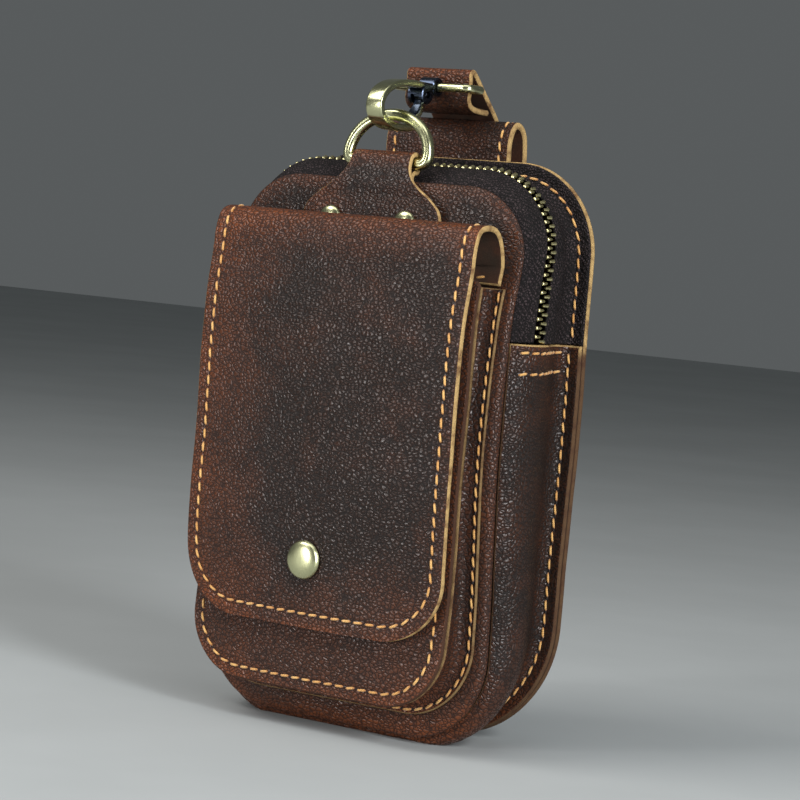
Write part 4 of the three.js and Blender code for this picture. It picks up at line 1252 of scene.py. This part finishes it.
def snap(cap_material, plain_material):
    face = float(flap_at(np.array([0.0]), np.array([snap_height]))[0]) - clearance
    behind = face + 2 * clearance + hide
    pocket_face_depth = float(pocket_at(np.array([0.0]), np.array([snap_height]))[0])
    depth = pocket_face_depth - (face + clearance + hide) - rivet_flat - 3 * clearance
    profile = [(0, face - cap_dome)]
    for t in np.linspace(0.08, 0.93, 16):
        profile.append((cap_radius * t, face - 0.35 - (cap_dome - 0.35) * math.sqrt(1 - t**2.6)))
    profile += [
        (cap_radius * 0.985, face - 0.5), (cap_radius, face - 0.28), (cap_radius * 0.985, face - 0.08),
        (cap_radius * 0.95, face), (snap_post, face), (snap_post, behind), (socket_radius, behind),
        (socket_radius, behind + depth), (stud_radius + clearance, behind + depth),
        (stud_radius + clearance, behind + depth / 2), (0, behind + depth / 2),
    ]
    points, faces = turned_mesh(profile, 0, snap_height)
    metal_piece("snap_dome", points, faces, cap_material, "snap_cap", "bag")
    tip = behind + depth / 2 + clearance
    front = pocket_face_depth - clearance
    inside = pocket_face_depth + hide + clearance
    profile = round_profile([
        (0, tip), (stud_radius, tip), (stud_radius, front - rivet_flat), (socket_radius, front - rivet_flat),
        (socket_radius, front), (snap_post, front), (snap_post, inside), (socket_radius, inside),
        (socket_radius, inside + rivet_flat), (0, inside + rivet_flat),
    ])
    points, faces = turned_mesh(profile, 0, snap_height)
    metal_piece("snap_post", points, faces, plain_material, "snap_stud", "bag")


def tab_rivet(side, material):
    x = side * rivet_spacing / 2
    spot, height = np.array([x]), np.array([rivet_height])
    lower = height - rivet_radius
    face = float(min(tab_layer(spot, height, 1)[0], tab_layer(spot, lower, 1)[0])) - clearance
    inside = float(front_at(spot, height)[0]) + hide + resting_gap
    profile = [(0, face - rivet_dome)]
    for t in np.linspace(0.1, 0.97, 14):
        profile.append((rivet_radius * t, face - 0.25 - (rivet_dome - 0.25) * math.sqrt(1 - t**2.4)))
    profile += [
        (rivet_radius, face - 0.15), (rivet_radius * 0.98, face), (rivet_post, face), (rivet_post, inside),
        (rivet_radius * 0.8, inside), (rivet_radius * 0.8, inside + rivet_flat), (0, inside + rivet_flat),
    ]
    points, faces = turned_mesh(profile, x, rivet_height)
    name = "left" if side < 0 else "right"
    metal_piece(f"rivet_{name}", points, faces, material, f"tab_rivet_{name}", "bag")


def d_ring(material):
    lean = math.radians(ring_lean)
    flat_path = []
    bar_end = ring_radius - ring_corner
    for t in np.linspace(-1, 1, 20):
        flat_path.append((bar_end * t, 0))
    for angle in np.linspace(0, math.pi / 2, 9)[1:]:
        flat_path.append((bar_end + ring_corner * math.sin(angle), ring_corner * (1 - math.cos(angle))))
    for angle in np.linspace(0, math.pi, 66)[1:-1]:
        flat_path.append((ring_radius * math.cos(angle), ring_corner + (ring_radius - ring_corner) * math.sin(angle)))
    for angle in np.linspace(math.pi / 2, 0, 9)[:-1]:
        flat_path.append((-bar_end - ring_corner * math.sin(angle), ring_corner * (1 - math.cos(angle))))
    path = [
        (x, ring_bar_depth + up * math.sin(lean), ring_bar_height + up * math.cos(lean)) for x, up in flat_path
    ]
    section = []
    for s in range(28):
        angle = 2 * math.pi * s / 28
        groove = 0.16 * math.exp(-(((angle - math.pi / 2) / 0.3) ** 2))
        groove += 0.16 * math.exp(-(((angle - 3 * math.pi / 2) / 0.3) ** 2))
        radius = ring_wire * (1 - groove)
        section.append((radius * math.cos(angle), radius * math.sin(angle)))
    normal = (0, -math.cos(lean), math.sin(lean))
    points, faces = sweep_mesh(path, normal, section, closed=True)
    return metal_piece("ring_wire", points, faces, material, "d_ring", "ring")


def hook_point(back, up):
    return (0, pivot_depth - hook_length * (1 - back), eye_height - hook_height * (1 - up))


ring_top = ring_bar_height + ring_radius * math.cos(math.radians(ring_lean))
hook_slack = 0.9
hook_height = eye_height - ring_top + ring_wire + hook_band / 2 + hook_slack


def hook_body(material):
    centre = smooth([hook_point(back, up) for back, up in zip(hook_rows["back"], hook_rows["up"])], 90)
    band = sweep_mesh(centre, (1, 0, 0), rounded_box_section(hook_band, hook_width, 0.55))
    boss = bar_mesh(boss_radius, hook_width, pivot_depth, pivot_height)
    eye = bar_mesh(eye_radius, hook_width, eye_depth, eye_height)
    slot_width = knuckle_width + 2 * clearance
    slot = bar_mesh(knuckle_radius + resting_gap, slot_width, pivot_depth, pivot_height)
    way = box_mesh(
        (-slot_width / 2, pivot_depth - 2 * boss_radius, pivot_height - 2 * boss_radius),
        (slot_width / 2, pivot_depth + boss_radius, pivot_height),
    )
    pin_hole = bar_mesh(gate_pin + clearance, 2 * hook_width, pivot_depth, pivot_height, 28)
    bore = bar_mesh(link_wire + resting_gap, 2 * hook_width, eye_depth, eye_height, 36)
    made = fused("hook_band", [band, boss, eye], [slot, way, pin_hole, bore])
    dress(made, material, "hook_body", "hook")
    places = np.array([vertex.co for vertex in made.data.vertices]) / METRES
    from_pivot = np.hypot(places[:, 1] - pivot_depth, places[:, 2] - pivot_height)
    from_eye = np.hypot(places[:, 1] - eye_depth, places[:, 2] - eye_height)
    gap = np.minimum(from_pivot, from_eye)
    # The dark attribute marks where a dark blue reflection is painted, round the pivot and the eye.
    attribute = made.data.attributes.new("dark", "FLOAT", "POINT")
    attribute.data.foreach_set("value", eased((hub_reach - gap) / hub_fade).astype(np.float32))
    return made


def hook_gate(material, inner_material):
    tip = hook_point(hook_rows["back"][-1], hook_rows["up"][-1])
    tip_y = tip[1] + gate_tip_back
    tip_z = tip[2] + hook_band / 2 + clearance + gate_thickness / 2
    controls = [
        (back, up, width) for back, up, width in zip(gate_rows["back"], gate_rows["up"], gate_rows["width"])
    ]
    path = [(0, pivot_depth + (tip_y - pivot_depth) * b, pivot_height + (tip_z - pivot_height) * u) for b, u, _ in controls]
    centre = smooth(path, 40)
    fractions = np.linspace(0, 1, 40)
    knots = np.linspace(0, 1, len(controls))
    widths = np.interp(fractions, knots, [width for _, _, width in controls])

    def section(share):
        width = widths[int(round(share * 39))]
        return rounded_box_section(gate_thickness, width, 0.45)

    arm = sweep_mesh(centre, (1, 0, 0), section)
    knuckle = bar_mesh(knuckle_radius, knuckle_width, pivot_depth, pivot_height)
    pin = bar_mesh(gate_pin, hook_width - 2 * clearance, pivot_depth, pivot_height, 24)
    made = fused("gate_lever_metal", [arm, knuckle, pin], [])
    dress(made, material, "hook_gate", "gate")
    made.data.materials.append(inner_material)
    # Painted shade and reflection: the hub and the faces turned to the front take the dark blue metal.
    for face in made.data.polygons:
        middle = face.center / METRES
        at_hub = math.hypot(middle.y - pivot_depth, middle.z - pivot_height) < boss_radius
        face.material_index = int(at_hub or face.normal.y < -0.5)
    return made


def hook_ring(material):
    half = (link_back - eye_depth) / 2
    path = []
    for side_x, side_y, turn in ((1, 1, 0), (-1, 1, 1), (-1, -1, 2), (1, -1, 3)):
        for k in range(8):
            angle = math.pi / 2 * (turn + k / 7)
            path.append((
                side_x * (link_half - link_corner) + link_corner * math.cos(angle),
                eye_depth + half + side_y * (half - link_corner) + link_corner * math.sin(angle),
                eye_height,
            ))
    points, faces = sweep_mesh(path, (0, 0, 1), round_section(link_wire, 24), closed=True)
    return metal_piece("wire_ring", points, faces, material, "hook_ring", "bag")


def zip_slider(material):
    """Slider body, bridge and pull, each a rounded block"""
    rows = wall_points(1, zip_end + clearance, zip_section, tape_thickness, False)
    foot = (rows[-1][2] + rows[-1][3]) / 2
    seat = foot[0] - resting_gap - slider_height / 2
    middle = foot[2] + slider_length / 2
    body = box_mesh(
        (seat - slider_height / 2, foot[1] - slider_width / 2, foot[2]),
        (seat + slider_height / 2, foot[1] + slider_width / 2, foot[2] + slider_length),
    )
    bridge_x = seat - slider_height / 2
    bridge = box_mesh(
        (bridge_x - slider_height / 2, foot[1] - pull_width / 4, middle - slider_length / 4),
        (bridge_x + slider_height / 2, foot[1] + pull_width / 4, middle + slider_length / 4),
    )
    pull_x = seat - 1.2 * slider_height
    pulled_and_lit_tone = box_mesh(
        (pull_x - slider_height / 4, foot[1] - pull_width / 2, middle - pull_length),
        (pull_x + slider_height / 4, foot[1] + pull_width / 2, middle),
    )
    hole_place = middle - pull_length + pull_width / 2
    hole = bar_mesh(pull_width / 5, 4 * slider_height, foot[1], hole_place, 24)
    hole = ([(x + pull_x, y, z) for x, y, z in hole[0]], hole[1])
    made = fused("slider_metal", [body, bridge, pulled_and_lit_tone], [hole], bevel=0.5)
    return dress(made, material, "zip_slider", "bag")


# Materials
class Graph:
    """A material's node tree, with short calls for the nodes used here"""

    def __init__(self, name):
        self.material = bpy.data.materials.new(name)
        self.material.use_nodes = True
        self.tree = self.material.node_tree
        self.shader = self.tree.nodes["Principled BSDF"]
        self.place = self.node("ShaderNodeTexCoord").outputs["Object"]

    def node(self, kind, **settings):
        made = self.tree.nodes.new(kind)
        for name, value in settings.items():
            setattr(made, name, value)
        return made

    def put(self, socket, value):
        if isinstance(value, bpy.types.NodeSocket):
            self.tree.links.new(value, socket)
        else:
            socket.default_value = value

    def noise(self, size, detail=2.0, rough=0.5, distortion=0.0, place=None, stretch=None):
        made = self.node("ShaderNodeTexNoise")
        place = self.place if place is None else place
        if stretch is not None:
            place = self.scaled(place, stretch)
        self.put(made.inputs["Vector"], place)
        self.put(made.inputs["Scale"], 1 / (size * METRES))
        self.put(made.inputs["Detail"], detail)
        self.put(made.inputs["Roughness"], rough)
        self.put(made.inputs["Distortion"], distortion)
        return made.outputs["Fac"]

    def scaled(self, place, stretch):
        made = self.node("ShaderNodeMapping")
        self.put(made.inputs["Vector"], place)
        made.inputs["Scale"].default_value = stretch
        return made.outputs["Vector"]

    def warped(self, size, amount):
        """The place, pushed about by a noise of a size"""
        colour = self.node("ShaderNodeTexNoise")
        self.put(colour.inputs["Vector"], self.place)
        self.put(colour.inputs["Scale"], 1 / (size * METRES))
        centred = self.vector("SUBTRACT", colour.outputs["Color"], (0.5, 0.5, 0.5))
        pushed = self.vector("SCALE", centred, None, amount * METRES)
        return self.vector("ADD", self.place, pushed)

    def vector(self, operation, first, second=None, scale=None):
        made = self.node("ShaderNodeVectorMath", operation=operation)
        self.put(made.inputs[0], first)
        if second is not None:
            self.put(made.inputs[1], second)
        if scale is not None:
            self.put(made.inputs["Scale"], scale)
        return made.outputs["Vector"]

    def cells(self, size, feature, place=None, randomness=1.0):
        made = self.node("ShaderNodeTexVoronoi", feature=feature)
        self.put(made.inputs["Vector"], self.place if place is None else place)
        self.put(made.inputs["Scale"], 1 / (size * METRES))
        self.put(made.inputs["Randomness"], randomness)
        return made.outputs["Distance"]

    def math(self, operation, first, second=0.0, clamp=False):
        made = self.node("ShaderNodeMath", operation=operation, use_clamp=clamp)
        self.put(made.inputs[0], first)
        self.put(made.inputs[1], second)
        return made.outputs["Value"]

    def span(self, value, low, high, start=0.0, end=1.0):
        """Maps a range of a value to another, smoothly and no further"""
        made = self.node("ShaderNodeMapRange", interpolation_type="SMOOTHSTEP")
        for socket, number in zip(made.inputs, (value, low, high, start, end)):
            self.put(socket, number)
        return made.outputs["Result"]

    def mix(self, share, first, second, blend="MIX"):
        made = self.node("ShaderNodeMix", data_type="RGBA", blend_type=blend)
        self.put(made.inputs["Factor"], share)
        for socket, colour in ((made.inputs[6], first), (made.inputs[7], second)):
            self.put(socket, (*colour, 1) if isinstance(colour, tuple) else colour)
        return made.outputs[2]

    def across(self, uv):
        made = self.node("ShaderNodeSeparateXYZ")
        self.put(made.inputs["Vector"], uv)
        return made.outputs["Y"]

    def fact(self, name):
        return self.node("ShaderNodeAttribute", attribute_name=name).outputs["Fac"]

    def bump(self, height, distance, strength=1.0, normal=None):
        made = self.node("ShaderNodeBump")
        self.put(made.inputs["Height"], height)
        self.put(made.inputs["Distance"], distance * METRES)
        self.put(made.inputs["Strength"], strength)
        if normal is not None:
            self.put(made.inputs["Normal"], normal)
        return made.outputs["Normal"]

    def finish(self, **sockets):
        for name, value in sockets.items():
            socket = self.shader.inputs[name.replace("_", " ")]
            if isinstance(value, tuple) and len(value) == 3:
                value = (*value, 1)
            self.put(socket, value)
        return self.material


pebble_size = 1.3
charcoal = (0.022, 0.0105, 0.007)
cocoa = (0.068, 0.0235, 0.0115)
russet = (0.165, 0.046, 0.0145)
tan_edge = (0.46, 0.3, 0.12)
dark_edge = (0.13, 0.062, 0.024)
dyed_edge = (0.055, 0.022, 0.011)
flesh_side = (0.03, 0.019, 0.012)
thread_light = (0.84, 0.5, 0.16)
thread_mid = (0.6, 0.27, 0.055)
thread_dark = (0.3, 0.1, 0.016)
plum = (0.004, 0.0028, 0.0028)
plum_light = (0.05, 0.035, 0.036)
brass_light = (0.58, 0.58, 0.34)
brass_dark = (0.2, 0.19, 0.085)
old_brass = (0.78, 0.7, 0.38)
old_brass_dark = (0.12, 0.09, 0.035)
reflected_navy = (0.06, 0.075, 0.1)
hub_reflected_navy = (0.06, 0.075, 0.11)
floor_grey = (0.44, 0.46, 0.46)


def leather_grain():
    """Pebbled pull-up leather: small domes between creases, charcoal where thick, red-brown where pulled and on left
    sides painted as lit from the left
    """
    g = Graph("pebbled_leather")
    warped = g.scaled(g.warped(2.6, 1.0), (0.85, 0.9, 1.15))
    from_crease = g.cells(pebble_size, "DISTANCE_TO_EDGE", warped)
    crease = g.span(from_crease, 0.0, 0.2)
    below_top = g.math("SUBTRACT", 1.0, g.math("MULTIPLY", from_crease, 2.4), clamp=True)
    pebble = g.math("SUBTRACT", 1.0, g.math("MULTIPLY", below_top, below_top))
    tilt = g.noise(1.3, 2.0, 0.5)
    fine = g.noise(0.4, 3.0, 0.6)
    folds = g.noise(8.0, 3.0, 0.55, 0.4, stretch=(0.7, 1.0, 1.6))
    amount = g.span(g.noise(22.0, 2.0), 0.3, 0.7, 0.7, 1.0)
    height = g.math("MULTIPLY", pebble, amount)
    height = g.math("ADD", height, g.math("MULTIPLY", tilt, 0.7))
    height = g.math("ADD", height, g.math("MULTIPLY", fine, 0.08))
    height = g.math("ADD", height, g.math("MULTIPLY", folds, 1.6))
    rim_wear = g.span(g.fact("rim"), 0.0, 2.0, 1.0, 0.0)
    mottle = g.math("SUBTRACT", g.noise(20.0, 4.0, 0.6, 0.4), 0.5)
    # The warm attribute carries the leather's pulled tone and, on the flap's and ring tab's left sides, painted light
    # from the left.
    pulled_and_lit_tone = g.math("ADD", g.fact("warm"), g.math("MULTIPLY", mottle, 0.9))
    pulled_and_lit_tone = g.math("ADD", pulled_and_lit_tone, g.math("MULTIPLY", rim_wear, 0.15), clamp=True)
    colour = g.mix(g.span(pulled_and_lit_tone, 0.0, 0.4), charcoal, cocoa)
    colour = g.mix(g.span(pulled_and_lit_tone, 0.35, 1.1), colour, russet)
    streaks = g.noise(2.6, 4.0, 0.65, 0.5)
    colour = g.mix(g.span(streaks, 0.35, 0.75, 0.0, 0.35), colour, charcoal)
    # Painted shade: the colour darkens in the pebble creases.
    colour = g.mix(1.0, colour, grey_of(g, g.span(crease, 0.0, 1.0, 0.3, 1.0)), "MULTIPLY")
    # Painted shade: the colour darkens along the sunken seam grooves.
    colour = g.mix(1.0, colour, grey_of(g, g.span(g.fact("groove"), 0.2, 1.0, 1.0, 0.7)), "MULTIPLY")
    rough = g.span(crease, 0.1, 0.9, 0.68, 0.25)
    rough = g.math("ADD", rough, g.math("MULTIPLY", g.noise(11.0, 2.0), 0.1))
    return g.finish(
        Base_Color=colour, Roughness=rough, Normal=g.bump(height, 0.23, 1.0), Specular_IOR_Level=0.32,
    )


def grey_of(g, value):
    made = g.node("ShaderNodeCombineColor")
    for socket in made.inputs:
        g.put(socket, value)
    return made.outputs["Color"]


def leather_inside():
    """The flesh side: dull, short-napped and a little paler"""
    g = Graph("flesh_side")
    nap = g.noise(0.5, 4.0, 0.7)
    broad = g.noise(8.0, 3.0)
    colour = g.mix(g.span(broad, 0.3, 0.7), flesh_side, cocoa)
    colour = g.mix(g.span(nap, 0.35, 0.75, 0.0, 0.5), colour, charcoal)
    return g.finish(Base_Color=colour, Roughness=0.92, Normal=g.bump(nap, 0.2, 0.8), Specular_IOR_Level=0.25)


def leather_edge():
    """The raw cut edge: tan fibres with darker smears of dye"""
    g = Graph("raw_edge")
    fibres = g.noise(0.35, 4.0, 0.75, 0.5)
    smears = g.noise(4.5, 4.0, 0.65)
    colour = g.mix(g.span(smears, 0.42, 0.72), tan_edge, dark_edge)
    colour = g.mix(g.span(fibres, 0.4, 0.8, 0.0, 0.45), colour, dark_edge)
    # On the pocket face this leaves a thin pale line along the edge, a painted highlight.
    colour = g.mix(g.fact("dye_and_edge_highlight"), colour, dyed_edge)
    return g.finish(Base_Color=colour, Roughness=0.85, Normal=g.bump(fibres, 0.25, 1.0), Specular_IOR_Level=0.3)


def thread():
    """Waxed two-ply thread"""
    g = Graph("waxed_thread")
    uv = g.node("ShaderNodeTexCoord").outputs["UV"]
    twist = g.node("ShaderNodeTexWave", wave_type="BANDS", bands_direction="DIAGONAL")
    g.put(twist.inputs["Vector"], g.scaled(uv, (1.0, 1.6, 1.0)))
    g.put(twist.inputs["Scale"], 2.2)
    g.put(twist.inputs["Distortion"], 0.4)
    fluff = g.noise(0.3, 3.0)
    tint = g.math("ADD", g.math("MULTIPLY", g.fact("tint"), 0.7), g.math("MULTIPLY", fluff, 0.3))
    colour = g.mix(tint, thread_mid, thread_light)
    # Painted shade: each stitch darkens towards its ends, where it dives into the needle holes.
    from_middle = g.math("ABSOLUTE", g.math("SUBTRACT", g.across(uv), 0.5))
    colour = g.mix(g.span(from_middle, 0.2, 0.5, 0.0, 0.9), colour, thread_dark)
    # Painted shade in the grooves between the thread's twisted plies.
    colour = g.mix(g.span(twist.outputs["Fac"], 0.0, 0.4, 0.5, 0.0), colour, thread_dark)
    normal = g.bump(twist.outputs["Fac"], 0.12, 0.8)
    return g.finish(Base_Color=colour, Roughness=0.55, Normal=normal, Sheen_Weight=0.3)


# Near-black needle-hole material: painted shade where the thread enters the leather.
def needle_dark():
    g = Graph("needle_hole_dark")
    hole_shade_mottle = g.noise(0.6, 2.0)
    colour = g.mix(hole_shade_mottle, (0.006, 0.004, 0.003), (0.02, 0.011, 0.008))
    return g.finish(Base_Color=colour, Roughness=0.8)


def woven_tape():
    """Zip tape: a coarse weave, with faint diagonal ribs"""
    g = Graph("zip_tape_twill")
    uv = g.node("ShaderNodeTexCoord").outputs["UV"]
    ribs = g.node("ShaderNodeTexWave", wave_type="BANDS", bands_direction="DIAGONAL")
    g.put(ribs.inputs["Vector"], uv)
    g.put(ribs.inputs["Scale"], 300.0)
    g.put(ribs.inputs["Distortion"], 1.2)
    g.put(ribs.inputs["Detail"], 2.0)
    g.put(ribs.inputs["Detail Scale"], 2.0)
    cross = g.node("ShaderNodeTexWave", wave_type="BANDS", bands_direction="X")
    g.put(cross.inputs["Vector"], uv)
    g.put(cross.inputs["Scale"], 520.0)
    g.put(cross.inputs["Distortion"], 0.8)
    knots = g.span(g.cells(0.9, "DISTANCE_TO_EDGE", g.warped(1.5, 0.7)), 0.0, 0.35)
    weave = g.math("ADD", g.math("MULTIPLY", ribs.outputs["Fac"], 0.35), g.math("MULTIPLY", knots, 0.65))
    weave = g.math("ADD", weave, g.math("MULTIPLY", cross.outputs["Fac"], 0.15))
    broad = g.noise(9.0, 3.0)
    # Painted shade and highlight: the colour follows the weave's relief, dark in its hollows and light on its raised
    # threads.
    colour = g.mix(g.span(weave, 0.35, 1.0), plum, plum_light)
    colour = g.mix(g.span(broad, 0.4, 0.7, 0.0, 0.5), colour, plum)
    normal = g.bump(weave, 0.34, 1.0)
    return g.finish(Base_Color=colour, Roughness=0.75, Normal=normal, Specular_IOR_Level=0.2)


def plated_metal(name, light, dark, rough, wear, brushed=None):
    """Antique plating: bright where rubbed, with brown-green tarnish and a fine grain, and a painted dark blue
    reflection where marked
    """
    g = Graph(name)
    tarnish = g.noise(3.0, 4.0, 0.65, 0.3)
    specks = g.noise(0.5, 3.0, 0.6)
    colour = g.mix(g.span(tarnish, 0.45, 0.8, 0.0, wear), light, dark)
    colour = g.mix(g.span(specks, 0.6, 0.8, 0.0, 0.3), colour, dark)
    # Painted reflection: dark blue where the dark attribute marks the hook's hub and eye.
    colour = g.mix(g.fact("dark"), colour, hub_reflected_navy)
    grain = g.noise(0.25, 2.0, 0.5, stretch=brushed or (1.0, 1.0, 1.0))
    roughness = g.math("ADD", g.math("MULTIPLY", tarnish, 0.16), rough - 0.08)
    normal = g.bump(grain, 0.02, 0.5)
    return g.finish(Base_Color=colour, Roughness=roughness, Metallic=1.0, Normal=normal)


def floor_finish():
    g = Graph("pale_floor")
    cloud = g.noise(160.0, 4.0, 0.6)
    grain = g.noise(2.0, 3.0)
    colour = g.mix(g.span(cloud, 0.3, 0.7), floor_grey, tuple(0.93 * c for c in floor_grey))
    return g.finish(Base_Color=colour, Roughness=0.85, Normal=g.bump(grain, 0.1, 0.2))


# Camera, floor and light
camera_azimuth = 35.46
camera_elevation = 3.3
camera_roll = 4.8
camera_distance = 945
camera_target_height = 91.35
camera_shift_right = 5.126
camera_shift_up = 11.629
camera_lens = 135.34


def aimed(right, up, back, place):
    return Matrix((
        (right.x, up.x, back.x, place.x),
        (right.y, up.y, back.y, place.y),
        (right.z, up.z, back.z, place.z),
        (0, 0, 0, 1),
    ))


def set_camera():
    azimuth, elevation, roll = (math.radians(a) for a in (camera_azimuth, camera_elevation, camera_roll))
    level = Vector((math.cos(azimuth), math.sin(azimuth), 0))
    back = Vector((
        math.sin(azimuth) * math.cos(elevation), -math.cos(azimuth) * math.cos(elevation), math.sin(elevation),
    ))
    upright = back.cross(level)
    right = level * math.cos(roll) + upright * math.sin(roll)
    up = upright * math.cos(roll) - level * math.sin(roll)
    target = Vector((0, 0, camera_target_height))
    place = target + right * camera_shift_right + up * camera_shift_up + back * camera_distance
    data = bpy.data.cameras.new("camera")
    data.lens = camera_lens
    data.sensor_width = 36
    data.clip_start = 0.05
    data.clip_end = 20
    camera = bpy.data.objects.new("camera", data)
    camera.matrix_world = aimed(right, up, back, place * METRES)
    bpy.context.scene.collection.objects.link(camera)
    bpy.context.scene.camera = camera


def soft_light(name, azimuth, elevation, distance, size, power, colour=(1, 1, 1)):
    """An area light aimed at the middle of the bag; azimuth zero is the front"""
    turn, rise = math.radians(azimuth), math.radians(elevation)
    back = Vector((math.sin(turn) * math.cos(rise), -math.cos(turn) * math.cos(rise), math.sin(rise)))
    right = Vector((math.cos(turn), math.sin(turn), 0))
    up = back.cross(right)
    data = bpy.data.lights.new(name, "AREA")
    data.shape = "RECTANGLE"
    data.size, data.size_y = size
    data.energy = power
    data.color = colour
    lamp = bpy.data.objects.new(name, data)
    lamp.matrix_world = aimed(right, up, back, back * distance + Vector((0, 0, 0.1)))
    bpy.context.scene.collection.objects.link(lamp)


def set_stage():
    soft_light("key_left", -40, 50, 1.2, (0.6, 0.6), 7, (1, 0.98, 0.95))
    soft_light("sheen_left", -20, 6, 1.3, (0.14, 0.5), 7.5)
    soft_light("edge_right", 64, 16, 1.1, (0.24, 0.8), 15, (0.95, 0.98, 1))
    soft_light("top", 30, 78, 1.1, (0.8, 0.6), 3)
    world = bpy.data.worlds.new("studio")
    world.use_nodes = True
    background = world.node_tree.nodes["Background"]
    background.inputs["Color"].default_value = (0.82, 0.88, 0.9, 1)
    background.inputs["Strength"].default_value = 0.12
    bpy.context.scene.world = world
    half = 3.0
    corners = [(-half, -half, 0), (half, -half, 0), (half, half, 0), (-half, half, 0)]
    mesh = bpy.data.meshes.new("floor")
    mesh.from_pydata(corners, [], [[0, 1, 2, 3]])
    mesh.materials.append(floor_finish())
    floor = bpy.data.objects.new("floor", mesh)
    bpy.context.scene.collection.objects.link(floor)
    bpy.context.scene.view_settings.view_transform = "Standard"


def build():
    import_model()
    set_camera()
    set_stage()
    skins = [leather_grain(), leather_inside(), leather_edge()]
    tape = woven_tape()
    tapes = [tape, tape, tape]
    threads = [thread(), needle_dark()]
    brass = plated_metal("antique_brass", brass_light, brass_dark, 0.24, 0.5)
    cap_brass = plated_metal("brushed_brass", brass_light, brass_dark, 0.3, 0.35, (1.0, 1.0, 0.06))
    zip_brass = plated_metal("zip_brass", old_brass, old_brass_dark, 0.3, 0.7)
    # A dark blue metal that paints in the shade and dark reflection on the gate.
    dark_reflection_metal = plated_metal("dark_reflection_metal", reflected_navy, (0.02, 0.025, 0.04), 0.2, 0.6)

    seams = {}

    def keep(name, made):
        piece, lines = made
        seams[name] = lines
        return piece

    keep("back", back_panel(skins))
    front_panel(skins)
    keep("gusset", gusset(skins))
    keep("pocket", pocket_face(skins))
    keep("wall", pocket_wall(skins))
    keep("flap", flap(skins))
    ring_tab(skins)
    keep("loop", belt_loop(skins))
    keep("strap", hook_strap(skins))
    front_tape, _ = zip_tape("tape_front", "zip_tape_front", front_tape_rows, False, tapes)
    rear_tape = keep("tape", zip_tape("tape_rear", "zip_tape_rear", rear_tape_rows, True, tapes))
    for seed, (name, lines) in enumerate(sorted(seams.items())):
        thread_stitches(f"stitches_{name}", lines, threads, seed)

    zip_teeth(zip_brass)
    zip_slider(zip_brass)
    snap(cap_brass, brass)
    tab_rivet(-1, brass)
    tab_rivet(1, brass)
    d_ring(brass)
    hook_body(brass)
    hook_gate(brass, dark_reflection_metal)
    hook_ring(brass)


build()
